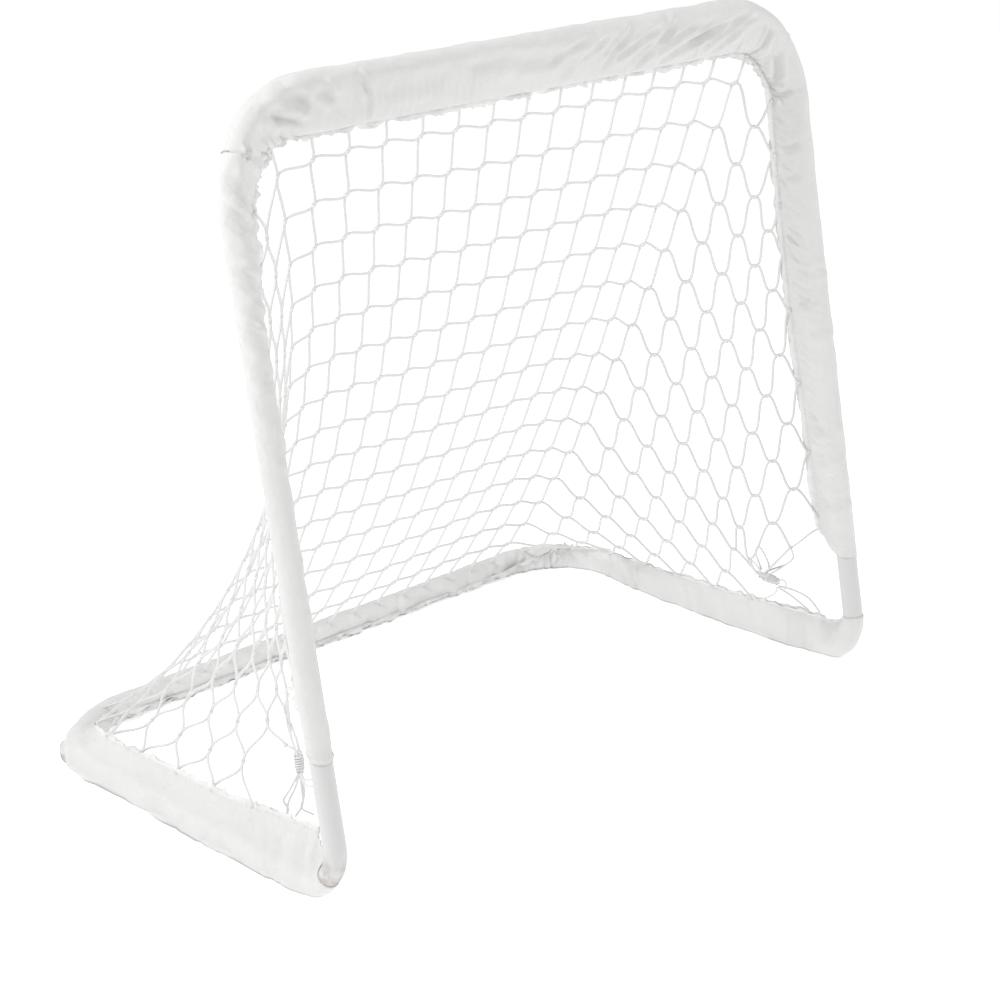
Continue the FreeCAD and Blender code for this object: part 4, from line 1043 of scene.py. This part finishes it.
@dataclass
class Net:
    """The knotless net: one lattice that hangs between the hems.

    Lines of one family run from the crossbar down to the back bar, and on the sides from a post down
    to a leg; the other family crosses them. Where two lines meet they run side by side for a short
    way. Every free crossing rests where the pulls of its bars balance its weight: a bar pulls in
    proportion to its length times its stiffness, so all the places come from one set of linear equations.
    """

    columns: int = 14
    rows: int = 16
    side_columns: int = 8
    twine: float = 0.0036
    joint: float = 0.0065
    bar_points: int = 8
    back_half: float = 0.300
    leg_front: float = 0.100
    top_left: float = -0.374
    top_right: float = 0.3708
    row_stiffness: float = 1.694
    side_column_stiffness: float = 0.683
    side_row_stiffness: float = 1.215
    stiffer_top: float = 0.745
    first_row: float = 1.669
    weight: float = 0.005024
    stiffer_edge: float = 1.961
    slacker_front: float = 0.317
    first_rows: tuple[int, ...] = (1, 2, 2, 3, 4, 5, 6, 7)
    post_heights: tuple[float, ...] = (0.725, 0.658, 0.596, 0.530, 0.459, 0.363, 0.270, 0.184)
    GATHERED = {
        Side.LEFT: {(8, 7): (3, 18, 39), (8, 8): (3, 3, 12), (7, 8): (3, 25, 53), (7, 9): (-6, 15, 18)},
        Side.RIGHT: {(8, 7): (30, -9, 37), (8, 8): (19, -10, 16), (7, 8): (-12, 24, 23), (7, 9): (-10, 13, 7)},
    }

    def gathered(self, side: Side) -> Array:
        """The crossings that a front corner draws together, of shape (4, 3): millimetres from its tie."""
        return np.array(TIE_PLACES[side]) + np.array(list(self.GATHERED[side].values())) * 0.001

    def solve(self) -> None:
        """Number the crossings, list the bars and find where every crossing rests."""
        self.keys: list[tuple[int, int]] = [(i, j) for i in range(self.columns + 1)
                                            for j in range(self.rows + 1)]
        for depth in range(1, self.side_columns + 1):
            for column in (-depth, self.columns + depth):
                rows = range(self.first_rows[depth - 1] - 1, self.rows - depth + 2)
                self.keys += [(column, row) for row in rows]
        number = {key: index for index, key in enumerate(self.keys)}
        pairs = [(number[i, j], number[i + di, j + dj], dj) for i, j in self.keys
                 for di, dj in ((1, 0), (0, 1)) if (i + di, j + dj) in number]
        places = np.zeros((len(self.keys), 3))
        held = np.zeros(len(self.keys), bool)
        for index, key in enumerate(self.keys):
            place = self._held_place(*key)
            if place is not None:
                places[index], held[index] = place, True
        bars = np.array([pair for pair in pairs if not (held[pair[0]] and held[pair[1]])])
        stiffness = self._stiffness(bars)
        matrix = np.zeros((len(self.keys),) * 2)
        for a, b, sign in ((0, 0, 1.0), (1, 1, 1.0), (0, 1, -1.0), (1, 0, -1.0)):
            np.add.at(matrix, (bars[:, a], bars[:, b]), sign * stiffness)
        free = ~held
        pull = -matrix[np.ix_(free, held)] @ places[held]
        pull[:, 2] -= self.weight
        places[free] = np.linalg.solve(matrix[np.ix_(free, free)], pull)
        self.places, self.bars, self.held = places, bars, held

    def _held_place(self, column: int, row: int) -> Array | None:
        """Where a crossing is sewn to a hem or tied, or None where it hangs free."""
        depth = max(0, -column, column - self.columns)
        inset = 0.005
        if depth == 0:
            if row == 0:
                x = self.top_left + (self.top_right - self.top_left) * column / self.columns
                return SEATS.nearest(CROSSBAR.at_x(x, inset))
            if row == self.rows:
                return SEATS.nearest(BACK_LINE.at_share(2.0 * column / self.columns - 1.0))
            return None
        side = Side.LEFT if column < 0 else Side.RIGHT
        if (depth, row) in self.GATHERED[side]:
            return np.array(TIE_PLACES[side]) + np.array(self.GATHERED[side][depth, row]) * 0.001
        if row == self.first_rows[depth - 1] - 1:
            height = self.post_heights[depth - 1]
            length = height if side is Side.LEFT else HOOP_HEM.rail.total - height
            return SEATS.nearest(HOOP_HEM.edge(np.array(length), inset))
        if row == self.rows - depth + 1:
            return SEATS.nearest(BACK_LINE.at_share(side.value * (1.0 + depth / self.side_columns)))
        return None

    def _stiffness(self, bars: Array) -> Array:
        """How hard each bar pulls for its length: more near the top, less at the front of the sides."""
        column = np.array([key[0] for key in self.keys])
        row = np.array([key[1] for key in self.keys])
        depth = np.maximum(0, np.maximum(-column, column - self.columns))
        upright = bars[:, 2] == 1
        depth_a, depth_b = depth[bars[:, 0]], depth[bars[:, 1]]
        beside = (depth_a > 0) | (depth_b > 0)
        half = self.columns / 2
        offset = np.abs(np.clip((column[bars[:, 0]] + column[bars[:, 1]]) / 2, 0, self.columns) - half) / half
        higher = 1.0 - (row[bars[:, 0]] + row[bars[:, 1]]) / 2 / self.rows
        slacker = self.slacker_front * (depth_a - 1) / (self.side_columns - 1)
        side_line = self.side_column_stiffness * np.exp(-slacker)
        line = np.where(depth_a > 0, side_line, np.exp(self.stiffer_edge * offset ** 2))
        line = line * np.exp(self.stiffer_top * higher)
        first = (np.minimum(row[bars[:, 0]], row[bars[:, 1]]) == 0) & ~beside
        line = line * np.where(first, self.first_row, 1.0)
        cross = np.where(beside, self.side_row_stiffness, self.row_stiffness)
        return np.where(upright, line, cross)

    def build(self) -> bpy.types.Object:
        """Make the twine.

        Returns:
            The net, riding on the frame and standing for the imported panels.
        """
        self.solve()
        places, bars = self.places, self.bars
        upright = bars[:, 2] == 1
        chord = unit(places[bars[:, 1]] - places[bars[:, 0]])
        lean = np.zeros_like(places)
        sign = np.where(upright, 1.0, -1.0)[:, None]
        np.add.at(lean, bars[:, 0], -sign * chord)
        np.add.at(lean, bars[:, 1], -sign * chord)
        lean = unit(lean)
        half = self.joint / 2 * np.where(self.held, 0.2, 1.0)[:, None]
        upper, lower = places + lean * half, places - lean * half
        start = np.where(upright[:, None], lower[bars[:, 0]], upper[bars[:, 0]])
        end = np.where(upright[:, None], upper[bars[:, 1]], lower[bars[:, 1]])
        leave = np.where(upright[:, None], -lean[bars[:, 0]], lean[bars[:, 0]])
        arrive = np.where(upright[:, None], -lean[bars[:, 1]], lean[bars[:, 1]])
        span = end - start
        size = np.linalg.norm(span, axis=1, keepdims=True)
        curl, handle = self._curl(bars, upright)
        first = start + size * handle * unit(leave * curl + unit(span) * (1 - curl))
        second = end - size * handle * unit(arrive * curl + unit(span) * (1 - curl))
        share = np.linspace(0.0, 1.0, self.bar_points)[None, :, None]
        path = ((1 - share) ** 3 * start[:, None] + 3 * share * (1 - share) ** 2 * first[:, None]
                + 3 * share ** 2 * (1 - share) * second[:, None] + share ** 3 * end[:, None])
        parts = [tube_mesh(path, self.twine / 2, 6)] + self._joints(lean, upper, lower)
        piece = new_piece("net", *joined(parts))
        hand_over(piece, TWINE, sorted(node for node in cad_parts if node.startswith("net_")))
        LOG.info("net: %d crossings, %d bars", len(places), len(bars))
        return piece

    def _curl(self, bars: Array, upright: Array) -> tuple[Array, Array]:
        """How much each bar sets out along its joint, and for what share of its length.

        The twine runs straighter across the back than on the sides, where the cells are pulled tall.
        """
        depth = np.array([max(0, -column, column - self.columns) for column, _ in self.keys])
        side = smoothstep((depth[bars[:, 0]] + depth[bars[:, 1]] + 1.0) / 4.0)
        back = np.where(upright, 0.10, 0.35)
        left = np.array([column < 0 for column, _ in self.keys])
        leftward = left[bars[:, 0]] | left[bars[:, 1]]
        curl = back + (np.where(leftward, 0.95, 0.62) - back) * side
        handle = 0.30 + np.where(leftward, 0.02, -0.10) * side
        return curl[:, None], handle[:, None]

    def _joints(self, lean: Array, upper: Array, lower: Array) -> list[Mesh]:
        """Where two lines meet, two strands side by side that turn half round each other."""
        share = np.linspace(-0.06, 1.06, 6)[None, :, None]
        middle = lower[:, None] * (1 - share) + upper[:, None] * share
        square = unit(np.cross(lean, np.array([0.31, 0.22, 0.92])))
        other = np.cross(lean, square)
        turn = np.pi * share
        offset = (square[:, None] * np.cos(turn) + other[:, None] * np.sin(turn)) * (self.twine * 0.36)
        offset = offset * np.sin(np.pi * np.clip(share, 0.0, 1.0)) ** 0.5
        return [tube_mesh(middle + offset * way, self.twine / 2 * 1.02, 6) for way in (1.0, -1.0)]


class HemSpan:
    """Places on a stretch of hem, found by coordinate or by share of its length."""

    def __init__(self, hem: Hem, start: float, end: float) -> None:
        """Keep the hem, and lengths along it from start to end."""
        self.hem = hem
        self.lengths = np.linspace(start, end, 400)

    def at_x(self, x: float, inset: float) -> Array:
        """The hem's point at a given x."""
        edge = self.hem.edge(self.lengths, inset)
        length = np.interp(x, edge[:, 0], self.lengths)
        return self.hem.edge(np.array(length), inset)


class BackLine:
    """The rear hem from one leg's front, round both corners, to the other's.

    Shares from -1 to 1 lie evenly across the back between the net's two edges there, and shares
    beyond them, to 2 either way, evenly on round a corner and forward along a leg.
    """

    LEG_X = 0.3

    def __init__(self, net: Hem, back_half: float, leg_front: float) -> None:
        """Measure the line and mark where its shares begin and end.

        Args:
            net: where the net leaves the base's sleeves.
            back_half: x of the net's edge on the back.
            leg_front: how far behind the feet the net's edge starts on the legs.
        """
        rail = net.rail
        front = SIZES.feet_y + leg_front
        line = np.linspace(rail.bends[0][1], rail.bends[3][0], 1200)
        edge = net.edge(line)
        self.net = net
        self.line = line
        self.steps = run_lengths(edge)
        self.marks = self.steps[[self._nearest(edge, side, axis, wanted) for side, axis, wanted in
                                 ((-1, 1, front), (-1, 0, -back_half), (1, 0, back_half), (1, 1, front))]]

    def _nearest(self, edge: Array, side: int, axis: int, wanted: float) -> int:
        """Which point on one side's half of the edge has a wanted x (on the back) or y (on the leg)."""
        middle = len(edge) // 2
        first = 0 if side < 0 else middle
        half = edge[:middle] if side < 0 else edge[middle:]
        elsewhere = half[:, 1] < 0 if axis == 0 else side * half[:, 0] < self.LEG_X
        return first + int(np.argmin(np.abs(half[:, axis] - wanted) + 10 * elsewhere))

    def at_share(self, share: float) -> Array:
        """The net's point at a share from -2 to 2."""
        step = np.interp(share, [-2.0, -1.0, 1.0, 2.0], self.marks)
        length = np.interp(step, self.steps, self.line)
        return self.net.edge(np.array(length))


@dataclass
class CornerTie:
    """A gathered front corner: the net's end bunched, whipped with cord and tied to the sleeves.

    Cords are smooth curves through points given in metres right, up and towards the viewer from the
    gathered bunch. The first ones are tied to the surfaces named, and bend in depth to reach them. The
    whipping is a helix round the bunch's axis. TWIST is how far the bunch turns over its length and TURN
    the step from strand to strand, both in radians; SIDES is the cords' number of corners.
    """

    TWIST = 1.6
    TURN = 2.4
    SIDES = 7

    side: Side
    axis: Point
    bunch_length: float
    bunch_radius: float
    cords: tuple[tuple[Point, ...], ...]
    tied_to: tuple[str, ...]
    cord_radius: float = 0.00135
    whip_turns: float = 6.0

    def build(self) -> bpy.types.Object:
        """Make the bunch, its whipping and its cords.

        Returns:
            The tie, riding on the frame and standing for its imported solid.
        """
        name = f"corner_tie_{self.side.word}"
        parts = [self._bunch(), self._whipping(), self._strands()]
        right, up, near = STUDIO.directions()
        centre = np.array(TIE_PLACES[self.side])
        for cord, surface in zip(self.cords, self.tied_to + ("",) * len(self.cords)):
            points = np.array([centre + p[0] * right + p[1] * up + p[2] * near for p in cord])
            if surface:
                shift = SEATS.in_line(points[-1], surface) - points[-1]
                points = points + shift * np.linspace(0.0, 1.0, len(points))[:, None] ** 1.3
            path = smooth_line(points, 12 * len(points))[None]
            parts.append(tube_mesh(path, self.cord_radius, self.SIDES))
        piece = new_piece(f"{name}_cord", *joined(parts))
        hand_over(piece, TWINE, [name])
        LOG.info("%s: %d cords", name, len(self.cords))
        return piece

    def _bunch(self) -> Mesh:
        """Six strands of net round a seventh, their places round the axis turning slowly."""
        axis = unit(np.array(self.axis))
        share = np.linspace(-0.5, 0.5, 14)[None, :, None]
        strand = np.arange(7)[:, None, None]
        angle = strand * 2 * np.pi / 6 + self.TWIST * share
        out = np.where(strand < 6, self.bunch_radius, 0.0) * (0.9 + 1.1 * np.abs(share) ** 1.5)
        path = np.array(TIE_PLACES[self.side]) + axis * share * self.bunch_length + ring(axis, angle) * out
        return tube_mesh(path, self.cord_radius * 1.25, self.SIDES)

    def _strands(self) -> Mesh:
        """Two strands from each gathered crossing into the nearer end of the bunch."""
        knots = np.repeat(Net().gathered(self.side), 2, axis=0)
        centre, axis = np.array(TIE_PLACES[self.side]), unit(np.array(self.axis))
        axis = axis * np.sign((knots.mean(axis=0) - centre) @ axis)
        turn = np.arange(len(knots))[:, None] * self.TURN
        out = ring(axis, turn) * self.bunch_radius
        mouth = centre + axis * self.bunch_length * 0.45 + out * 0.7
        share = np.linspace(0.0, 1.0, 12)[None, :, None]
        bow = out[:, None] * np.sin(np.pi * share) * 0.8
        path = knots[:, None] * (1 - share) + mouth[:, None] * share + bow
        return tube_mesh(path, self.cord_radius, self.SIDES)

    def _whipping(self) -> Mesh:
        """A helix: the angle grows evenly while the point moves along the axis."""
        axis = unit(np.array(self.axis))
        share = np.linspace(0.0, 1.0, 110)[None, :, None]
        angle = 2 * np.pi * self.whip_turns * share
        radius = self.bunch_radius + self.cord_radius * 1.6
        run = self.whip_turns * self.cord_radius * 2.1
        path = np.array(TIE_PLACES[self.side]) + axis * (share - 0.5) * run + ring(axis, angle) * radius
        return tube_mesh(path, self.cord_radius, self.SIDES)


@dataclass(frozen=True)
class Studio:
    """The camera at the photograph's angle, a pale floor and soft light."""

    camera_place: Point = (-1.8918, -1.98724, 1.3006)
    heading: float = 44.55
    tilt: float = 20.59
    lens: float = 86.22
    sensor: float = 36.0
    sky: float = 0.61
    floor_glow: float = 0.42
    floor_half: float = 14.0
    aim: Point = (0.0, 0.0, 0.4)

    def directions(self) -> tuple[Array, Array, Array]:
        """The directions to the picture's right, up, and towards the camera."""
        heading, tilt = math.radians(self.heading), math.radians(self.tilt)
        ahead = np.array([math.sin(heading) * math.cos(tilt), math.cos(heading) * math.cos(tilt),
                          -math.sin(tilt)])
        right = np.array([math.cos(heading), -math.sin(heading), 0.0])
        return right, np.cross(right, ahead), -ahead

    def build(self) -> None:
        """Make the camera, floor, sky and lamps."""
        data = bpy.data.cameras.new("camera")
        data.lens, data.sensor_width = self.lens, self.sensor
        data.clip_start, data.clip_end = 0.05, 60.0
        ahead = Vector((-self.directions()[2]).tolist())
        bpy.context.scene.camera = self._aimed("camera", data, self.camera_place, ahead)
        self._floor()
        self._sky()
        self._lamp("key_light", (-2.2, 0.6, 2.9), 1.1, 62.0)
        self._lamp("fill_light", (1.8, -2.6, 2.6), 2.0, 33.0)
        bpy.context.scene.view_settings.view_transform = "Standard"

    def _floor(self) -> None:
        """A wide pale floor at the height that the goal stands on."""
        half = self.floor_half
        corners = np.array([[-half, -half, 0], [half, -half, 0], [half, half, 0], [-half, half, 0]])
        floor = new_piece("floor", corners, [np.array([[0, 1, 2, 3]])])
        graph = Graph("floor_white")
        soft = graph.noise(graph.object_place(), 1.5)
        tone = graph.blend(soft, opaque((0.93,) * 3), opaque((0.95,) * 3))
        floor.data.materials.append(graph.finish(Base_Color=tone, Roughness=0.9, Emission_Color=tone,
                                                 Emission_Strength=self.floor_glow))

    def _sky(self) -> None:
        """An even white surround."""
        world = bpy.data.worlds.new("surround")
        bpy.context.scene.world = world
        world.use_nodes = True
        shade = world.node_tree.nodes["Background"]
        shade.inputs["Color"].default_value = WHITE
        shade.inputs["Strength"].default_value = self.sky

    def _lamp(self, name: str, place: Point, size: float, power: float) -> None:
        """A soft square lamp that looks at the goal."""
        data = bpy.data.lights.new(name, "AREA")
        data.size, data.energy = size, power
        self._aimed(name, data, place, Vector(self.aim) - Vector(place))

    def _aimed(self, name: str, data: bpy.types.ID, place: Point, ahead: Vector) -> bpy.types.Object:
        """A camera or lamp at a place, looking ahead."""
        thing = bpy.data.objects.new(name, data)
        bpy.context.scene.collection.objects.link(thing)
        thing.location = place
        thing.rotation_mode = "QUATERNION"
        thing.rotation_quaternion = ahead.to_track_quat("-Z", "Y")
        return thing


STUDIO = Studio()
# The sleeves' cloth has a painted hem glow and painted contact shade low down; the back bar's copy is darker,
# with no painted hem glow and stronger painted contact shade.
CLOTH = SleeveCloth().material()
SHADED_CLOTH = SleeveCloth(painted_hem_glow=0.0, painted_contact_shade=0.6).material()
TWINE = NetTwine().material()


def hoop_hem() -> Hem:
    """How the hoop's sleeves hang: in towards the net at the top, swinging to the back down the posts."""
    rail = hoop_rail()
    left, right = rail.bends
    keys = [HemKey(0.158, 88.0, 0.0165), HemKey(0.175, 86.0, 0.024), HemKey(0.21, 80.0, 0.034),
            HemKey(0.30, 72.0, 0.037), HemKey(0.45, 54.0, 0.040),
            HemKey(0.60, 36.0, 0.042), HemKey(left[0], 16.0, 0.043), HemKey(left[1], 13.0, 0.056),
            HemKey(right[0], 13.0, 0.056), HemKey(right[1], 16.0, 0.043),
            HemKey(rail.total - 0.60, 36.0, 0.042), HemKey(rail.total - 0.45, 54.0, 0.042),
            HemKey(rail.total - 0.30, 72.0, 0.041), HemKey(rail.total - 0.172, 82.0, 0.042),
            HemKey(rail.total - 0.158, 84.0, 0.036), HemKey(rail.total - 0.140, 84.0, 0.0175)]
    return Hem(rail, keys)


def base_hem() -> Hem:
    """How the base's sleeves hang: hems up along the legs, and low and frilled along the back."""
    rail = base_rail()
    left_elbow, left_rear, right_rear, right_elbow = rail.bends
    keys = [HemKey(left_elbow[1] - 0.036, 80.0, 0.036), HemKey(left_elbow[1], 74.0, 0.058, 0.016),
            HemKey(left_elbow[1] + 0.05, 72.0, 0.052, 0.018), HemKey(left_elbow[1] + 0.10, 72.0, 0.047, 0.020),
            HemKey(left_elbow[1] + 0.15, 75.0, 0.041, 0.022, 0.0, 0.001),
            HemKey(left_rear[0], 80.0, 0.038, 0.024, 0.0, 0.006),
            HemKey(0.7 * left_rear[0] + 0.3 * left_rear[1], 60.0, 0.034, 0.024, 0.0, 0.0105),
            HemKey(0.45 * left_rear[0] + 0.55 * left_rear[1], 35.0, 0.031, 0.020, 0.0, 0.0085),
            HemKey(0.2 * left_rear[0] + 0.8 * left_rear[1], 8.0, 0.028, 0.0175, 0.0, 0.001),
            HemKey(left_rear[1], -8.0, 0.025, 0.0150, 0.0, 0.0005),
            HemKey(left_rear[1] + 0.05, -24.0, 0.0200, 0.0110), HemKey(left_rear[1] + 0.30, -27.0, 0.0200),
            HemKey(left_rear[1] + 0.42, -25.0, 0.0205, 0.0, 0.020),
            HemKey(right_rear[0] - 0.04, -20.0, 0.022, 0.0, 0.028),
            HemKey(right_rear[0], -5.0, 0.025, 0.0, 0.029),
            HemKey(0.5 * sum(right_rear), 40.0, 0.032, 0.0, 0.024),
            HemKey(right_rear[1], 54.0, 0.036, -0.014, 0.0, 0.0015),
            HemKey(right_rear[1] + 0.06, 54.0, 0.038, -0.024, 0.0, 0.0015),
            HemKey(right_elbow[0] - 0.20, 54.0, 0.043, -0.026, 0.0, 0.0015),
            HemKey(right_elbow[0] - 0.05, 64.0, 0.047, -0.022, 0.0, 0.001),
            HemKey(right_elbow[0], 74.0, 0.044, -0.010, 0.0, 0.0),
            HemKey(0.5 * sum(right_elbow), 82.0, 0.032),
            HemKey(right_elbow[1], 90.0, 0.018), HemKey(rail.total, 90.0, 0.0145)]
    return Hem(rail, keys)


def base_net_line() -> Hem:
    """Where the net leaves the base's sleeves: at the hems of the legs, and over the top of the back bar."""
    hem = base_hem()
    _, left_rear, right_rear, _ = hem.rail.bends
    keys = [HemKey(length, math.degrees(turn), reach - 0.004) for length, turn, reach
            in zip(hem.lengths.tolist(), hem.values["turn"].tolist(), hem.values["reach"].tolist())
            if not left_rear[0] < length < right_rear[1]]
    over = [HemKey(left_rear[1], 50.0, 0.017), HemKey(left_rear[1] + 0.30, 50.0, 0.016),
            HemKey(left_rear[1] + 0.42, 62.0, 0.020), HemKey(right_rear[0], 62.0, 0.026)]
    return Hem(hem.rail, sorted(keys + over, key=lambda key: key.length))


HOOP_HEM = hoop_hem()
BASE_HEM = base_hem()
CROSSBAR = HemSpan(HOOP_HEM, HOOP_HEM.rail.bends[0][0], HOOP_HEM.rail.bends[1][1])
BACK_LINE = BackLine(base_net_line(), Net.back_half, Net.leg_front)


def creases(*rows: tuple[float, float, float, float, float, float]) -> tuple[Crease, ...]:
    """Creases from rows of millimetres: start along and round, end along and round, depth, width."""
    metres = [[value / 1000 for value in row] for row in rows]
    return tuple(Crease((a, b), (c, d), depth, width) for a, b, c, d, depth, width in metres)


CROSSBAR_CREASES = creases(
    (10, 26, 24, 19, 6, 2.2), (65, 18, 82, 40, 4.5, 5), (82, 40, 115, 56, 3, 4),
    (96, 22, 121, 39, 5, 6), (141, 25, 155, 38, 4, 5), (189, 18, 200, 35, 4, 4),
    (200, 35, 203, 64, 2, 4), (211, 36, 304, 36, 1.1, 8), (350, 26, 420, 24, 2, 8),
    (420, 33, 485, 35, 2, 7), (470, 40, 522, 22, 2, 3.4), (520, 42, 556, 24, 2, 3.2),
    (560, 52, 600, 17, 2.6, 3), (584, 46, 640, 23, 3, 3.2), (612, 62, 672, 21, 2.6, 3),
    (642, 49, 712, 25, 3.2, 3.2), (660, 61, 729, 38, 2.8, 3), (690, 56, 735, 38, 2, 2.8),
    (714, 44, 776, 27, 3.4, 3.2), (732, 56, 790, 25, 3, 3), (752, 62, 790, 44, 2, 2.8),
    (774, 49, 813, 24, 3, 3.2), (848, 49, 845, 28, 3.4, 3.6))
POST_LEFT_CREASES = creases(
    (639, 39, 636, 60, 3, 4), (611, 7, 594, 23, 3.5, 5), (586, 4, 566, 27, 4.5, 5), (563, 19, 543, 35, 3, 4.5),
    (532, 3, 515, 21, 4.5, 4.5), (496, 4, 479, 25, 4.5, 4.5), (476, 4, 454, 18, 3, 5), (440, 4, 423, 15, 3, 5),
    (409, 2, 387, 13, 2, 5), (370, 2, 345, 17, 2, 5))
POST_RIGHT_CREASES = creases(
    (660, 42, 631, 53, 4, 5), (586, 68, 600, 63, 3, 4), (600, 63, 612, 37, 2.5, 4), (536, 50, 547, 32, 2.5, 4),
    (490, 62, 510, 34, 2, 4), (423, 58, 420, 42, 2.5, 4), (383, 46, 398, 10, 2.5, 4.5),
    (338, 50, 358, 27, 3, 4), (310, 35, 324, 9, 2.5, 4.5), (175, 53, 200, 10, 3, 5), (141, 52, 161, 11, 2.5, 5),
    (82, 50, 102, 4, 3, 5))


def sleeves() -> list[Sleeve]:
    """The six sleeves with their own folds."""
    hoop, base = HOOP_HEM.rail, BASE_HEM.rail
    left_0, right_0 = hoop.bends[0][0], hoop.bends[1][0]
    rear_l0, rear_r0 = base.bends[1][0], base.bends[2][0]
    arc = hoop.bends[0][1] - left_0
    return [
        Sleeve("crossbar_sleeve", "sleeve_crossbar", HOOP_HEM, left_0 + arc * 0.32, right_0 + arc * 0.60,
               (Folds(0.80, 0.20, 0.022, 1.1, 0.0042, 11), Folds(0.10, 0.12, 0.022, -0.9, 0.0045, 12),
                Folds(0.45, 0.45, 0.034, 0.6, 0.0024, 13), *CROSSBAR_CREASES),
               flare=(0.0010, 0.0022), fade=0.010, ruffle=0.0042, scallop=0.0030, seed=2),
        Sleeve("post_sleeve_left", "sleeve_post_left", HOOP_HEM, 0.158, left_0 + arc * 0.48,
               (Folds(0.75, 0.30, 0.020, 0.7, 0.0034, 21), Folds(0.35, 0.40, 0.030, 0.4, 0.0020, 22),
                *POST_LEFT_CREASES),
               snug=(0.05, 0.03), ruffle=0.0032, seed=3),
        Sleeve("post_sleeve_right", "sleeve_post_right", HOOP_HEM, hoop.total - 0.138, right_0 + arc * 0.45,
               (Folds(0.22, 0.16, 0.014, 0.2, 0.0030, 31), Folds(0.70, 0.40, 0.028, -0.5, 0.0026, 32),
                *POST_RIGHT_CREASES), snug=(0.03, 0.03), seed=4),
        Sleeve("leg_sleeve_left", "sleeve_leg_left", BASE_HEM, base.bends[0][1] - 0.036, rear_l0 + arc * 0.80,
               (Folds(0.90, 0.16, 0.020, 0.5, 0.0024, 41, outside=0.6),
                Folds(0.40, 0.45, 0.024, 0.7, 0.0040, 42, outside=0.7),
                Folds(0.10, 0.20, 0.016, -0.6, 0.0030, 43, outside=0.5)),
               pinch=0.85, snug=(0.030, 0.0), lead=0.009, ruffle=0.0042, scallop=0.0030, play=0.0026,
               drape=Drape(gather=0.004, slack=0.1, steps=30, stiffness=0.25), seed=5),
        Sleeve("leg_sleeve_right", "sleeve_leg_right", BASE_HEM, rear_r0 + arc * 0.55, base.bends[3][1] - 0.002,
               (Folds(0.45, 0.45, 0.022, -0.6, 0.0036, 51, outside=0.7),
                Folds(0.90, 0.08, 0.016, 0.5, 0.0022, 52)),
               snug=(0.025, 0.05), scallop=0.0026, drape=Drape(gather=0.01, slack=0.0), seed=6),
        # the back bar gets the darker copy of the cloth: stronger painted contact shade and no painted hem glow
        Sleeve("back_bar_sleeve", "sleeve_back_bar", BASE_HEM, rear_l0 + arc * 0.66, rear_r0 + arc * 0.62,
               (Folds(0.5, 0.6, 0.018, 0.4, 0.0034, 61), Folds(0.95, 0.08, 0.014, 0.8, 0.0044, 62)),
               snug=(0.07, 0.0), ruffle=0.0045, scallop=0.0030, play=0.0010, seed=7, finish=SHADED_CLOTH),
    ]


def ties() -> list[CornerTie]:
    """The two gathered front corners, each as the photograph shows it."""
    left = CornerTie(Side.LEFT, (0.05, 0.15, 1.0), 0.024, 0.0024, (
        ((0.002, -0.012, 0), (0.007, -0.020, 0.003), (0.018, -0.016, 0.004)),
        ((0.001, -0.013, 0), (0.008, -0.026, 0.002), (0.020, -0.026, 0.004)),
        ((-0.001, -0.013, 0), (-0.010, -0.030, 0.003), (-0.017, -0.042, 0.002), (-0.012, -0.052, 0),
         (-0.019, -0.064, -0.004)),
        ((0.0, -0.013, 0), (-0.004, -0.028, 0.002), (-0.010, -0.040, 0.002), (-0.013, -0.052, 0.001),
         (-0.010, -0.066, -0.004)),
        ((0.001, -0.013, 0), (0.003, -0.030, 0.001), (0.004, -0.046, 0.001), (-0.004, -0.060, -0.003)),
        ((0.002, -0.012, 0), (0.006, -0.034, 0.001), (0.003, -0.050, 0.001), (0.016, -0.058, -0.002)),
    ), ("left_stub", "left_stub"))
    right = CornerTie(Side.RIGHT, (0.80, -0.30, -0.45), 0.030, 0.0028, (
        ((0.012, -0.010, 0), (0.030, -0.012, 0.002), (0.048, -0.018, 0.002), (0.060, -0.030, -0.002)),
        ((0.012, -0.012, 0), (0.030, -0.020, 0.001), (0.052, -0.032, -0.002)),
        ((0.010, -0.012, 0), (0.006, -0.020, 0.001), (-0.008, -0.026, -0.002)),
        ((0.0288, 0.0395, -0.0007), (0.040, 0.0475, 0.001), (0.052, 0.057, 0.0), (0.0625, 0.0630, -0.0022)),
        ((-0.010, 0.012, 0), (-0.018, 0.034, 0.002), (-0.012, 0.040, 0.002), (-0.002, 0.022, 0.002),
         (0.000, 0.010, 0)),
        ((0.010, -0.006, 0.002), (0.016, -0.002, 0.004), (0.021, -0.006, 0.004), (0.020, -0.014, 0.002)),
        ((0.0204, 0.0166, 0.0), (0.031, 0.026, 0.0), (0.0288, 0.0395, -0.0007)),
    ), ("leg_sleeve_right",) * 3 + ("post_sleeve_right",))
    return [left, right]


def add_stub() -> None:
    """Keep the bare left tube's surface: circles round the rail."""
    rail = BASE_HEM.rail
    length, angle = np.meshgrid(np.linspace(0.0, SIZES.stub, 150), np.linspace(0.0, 2 * np.pi, 48))
    across = rail.inward(length) * np.cos(angle)[..., None] + rail.aside(length) * np.sin(angle)[..., None]
    SEATS.add("left_stub", rail.at(length) + across * SIZES.tube_radius)


def dress_tubes() -> None:
    """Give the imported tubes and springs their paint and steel."""
    paint, steel = TubePaint().material(), SpringSteel().material()
    for name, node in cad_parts.items():
        if "tube" in name or "button" in name:
            node.data.materials.clear()
            node.data.materials.append(paint if "tube" in name else steel)
    LOG.info("tubes and springs dressed")


def main() -> None:
    """Build every piece in order."""
    logging.basicConfig(level=logging.INFO, format="%(name)s: %(message)s")
    dress_tubes()
    for sleeve in sleeves():
        sleeve.build()
    Net().build()
    add_stub()
    for tie in ties():
        tie.build()
    STUDIO.build()


if __name__ == "__main__":
    main()
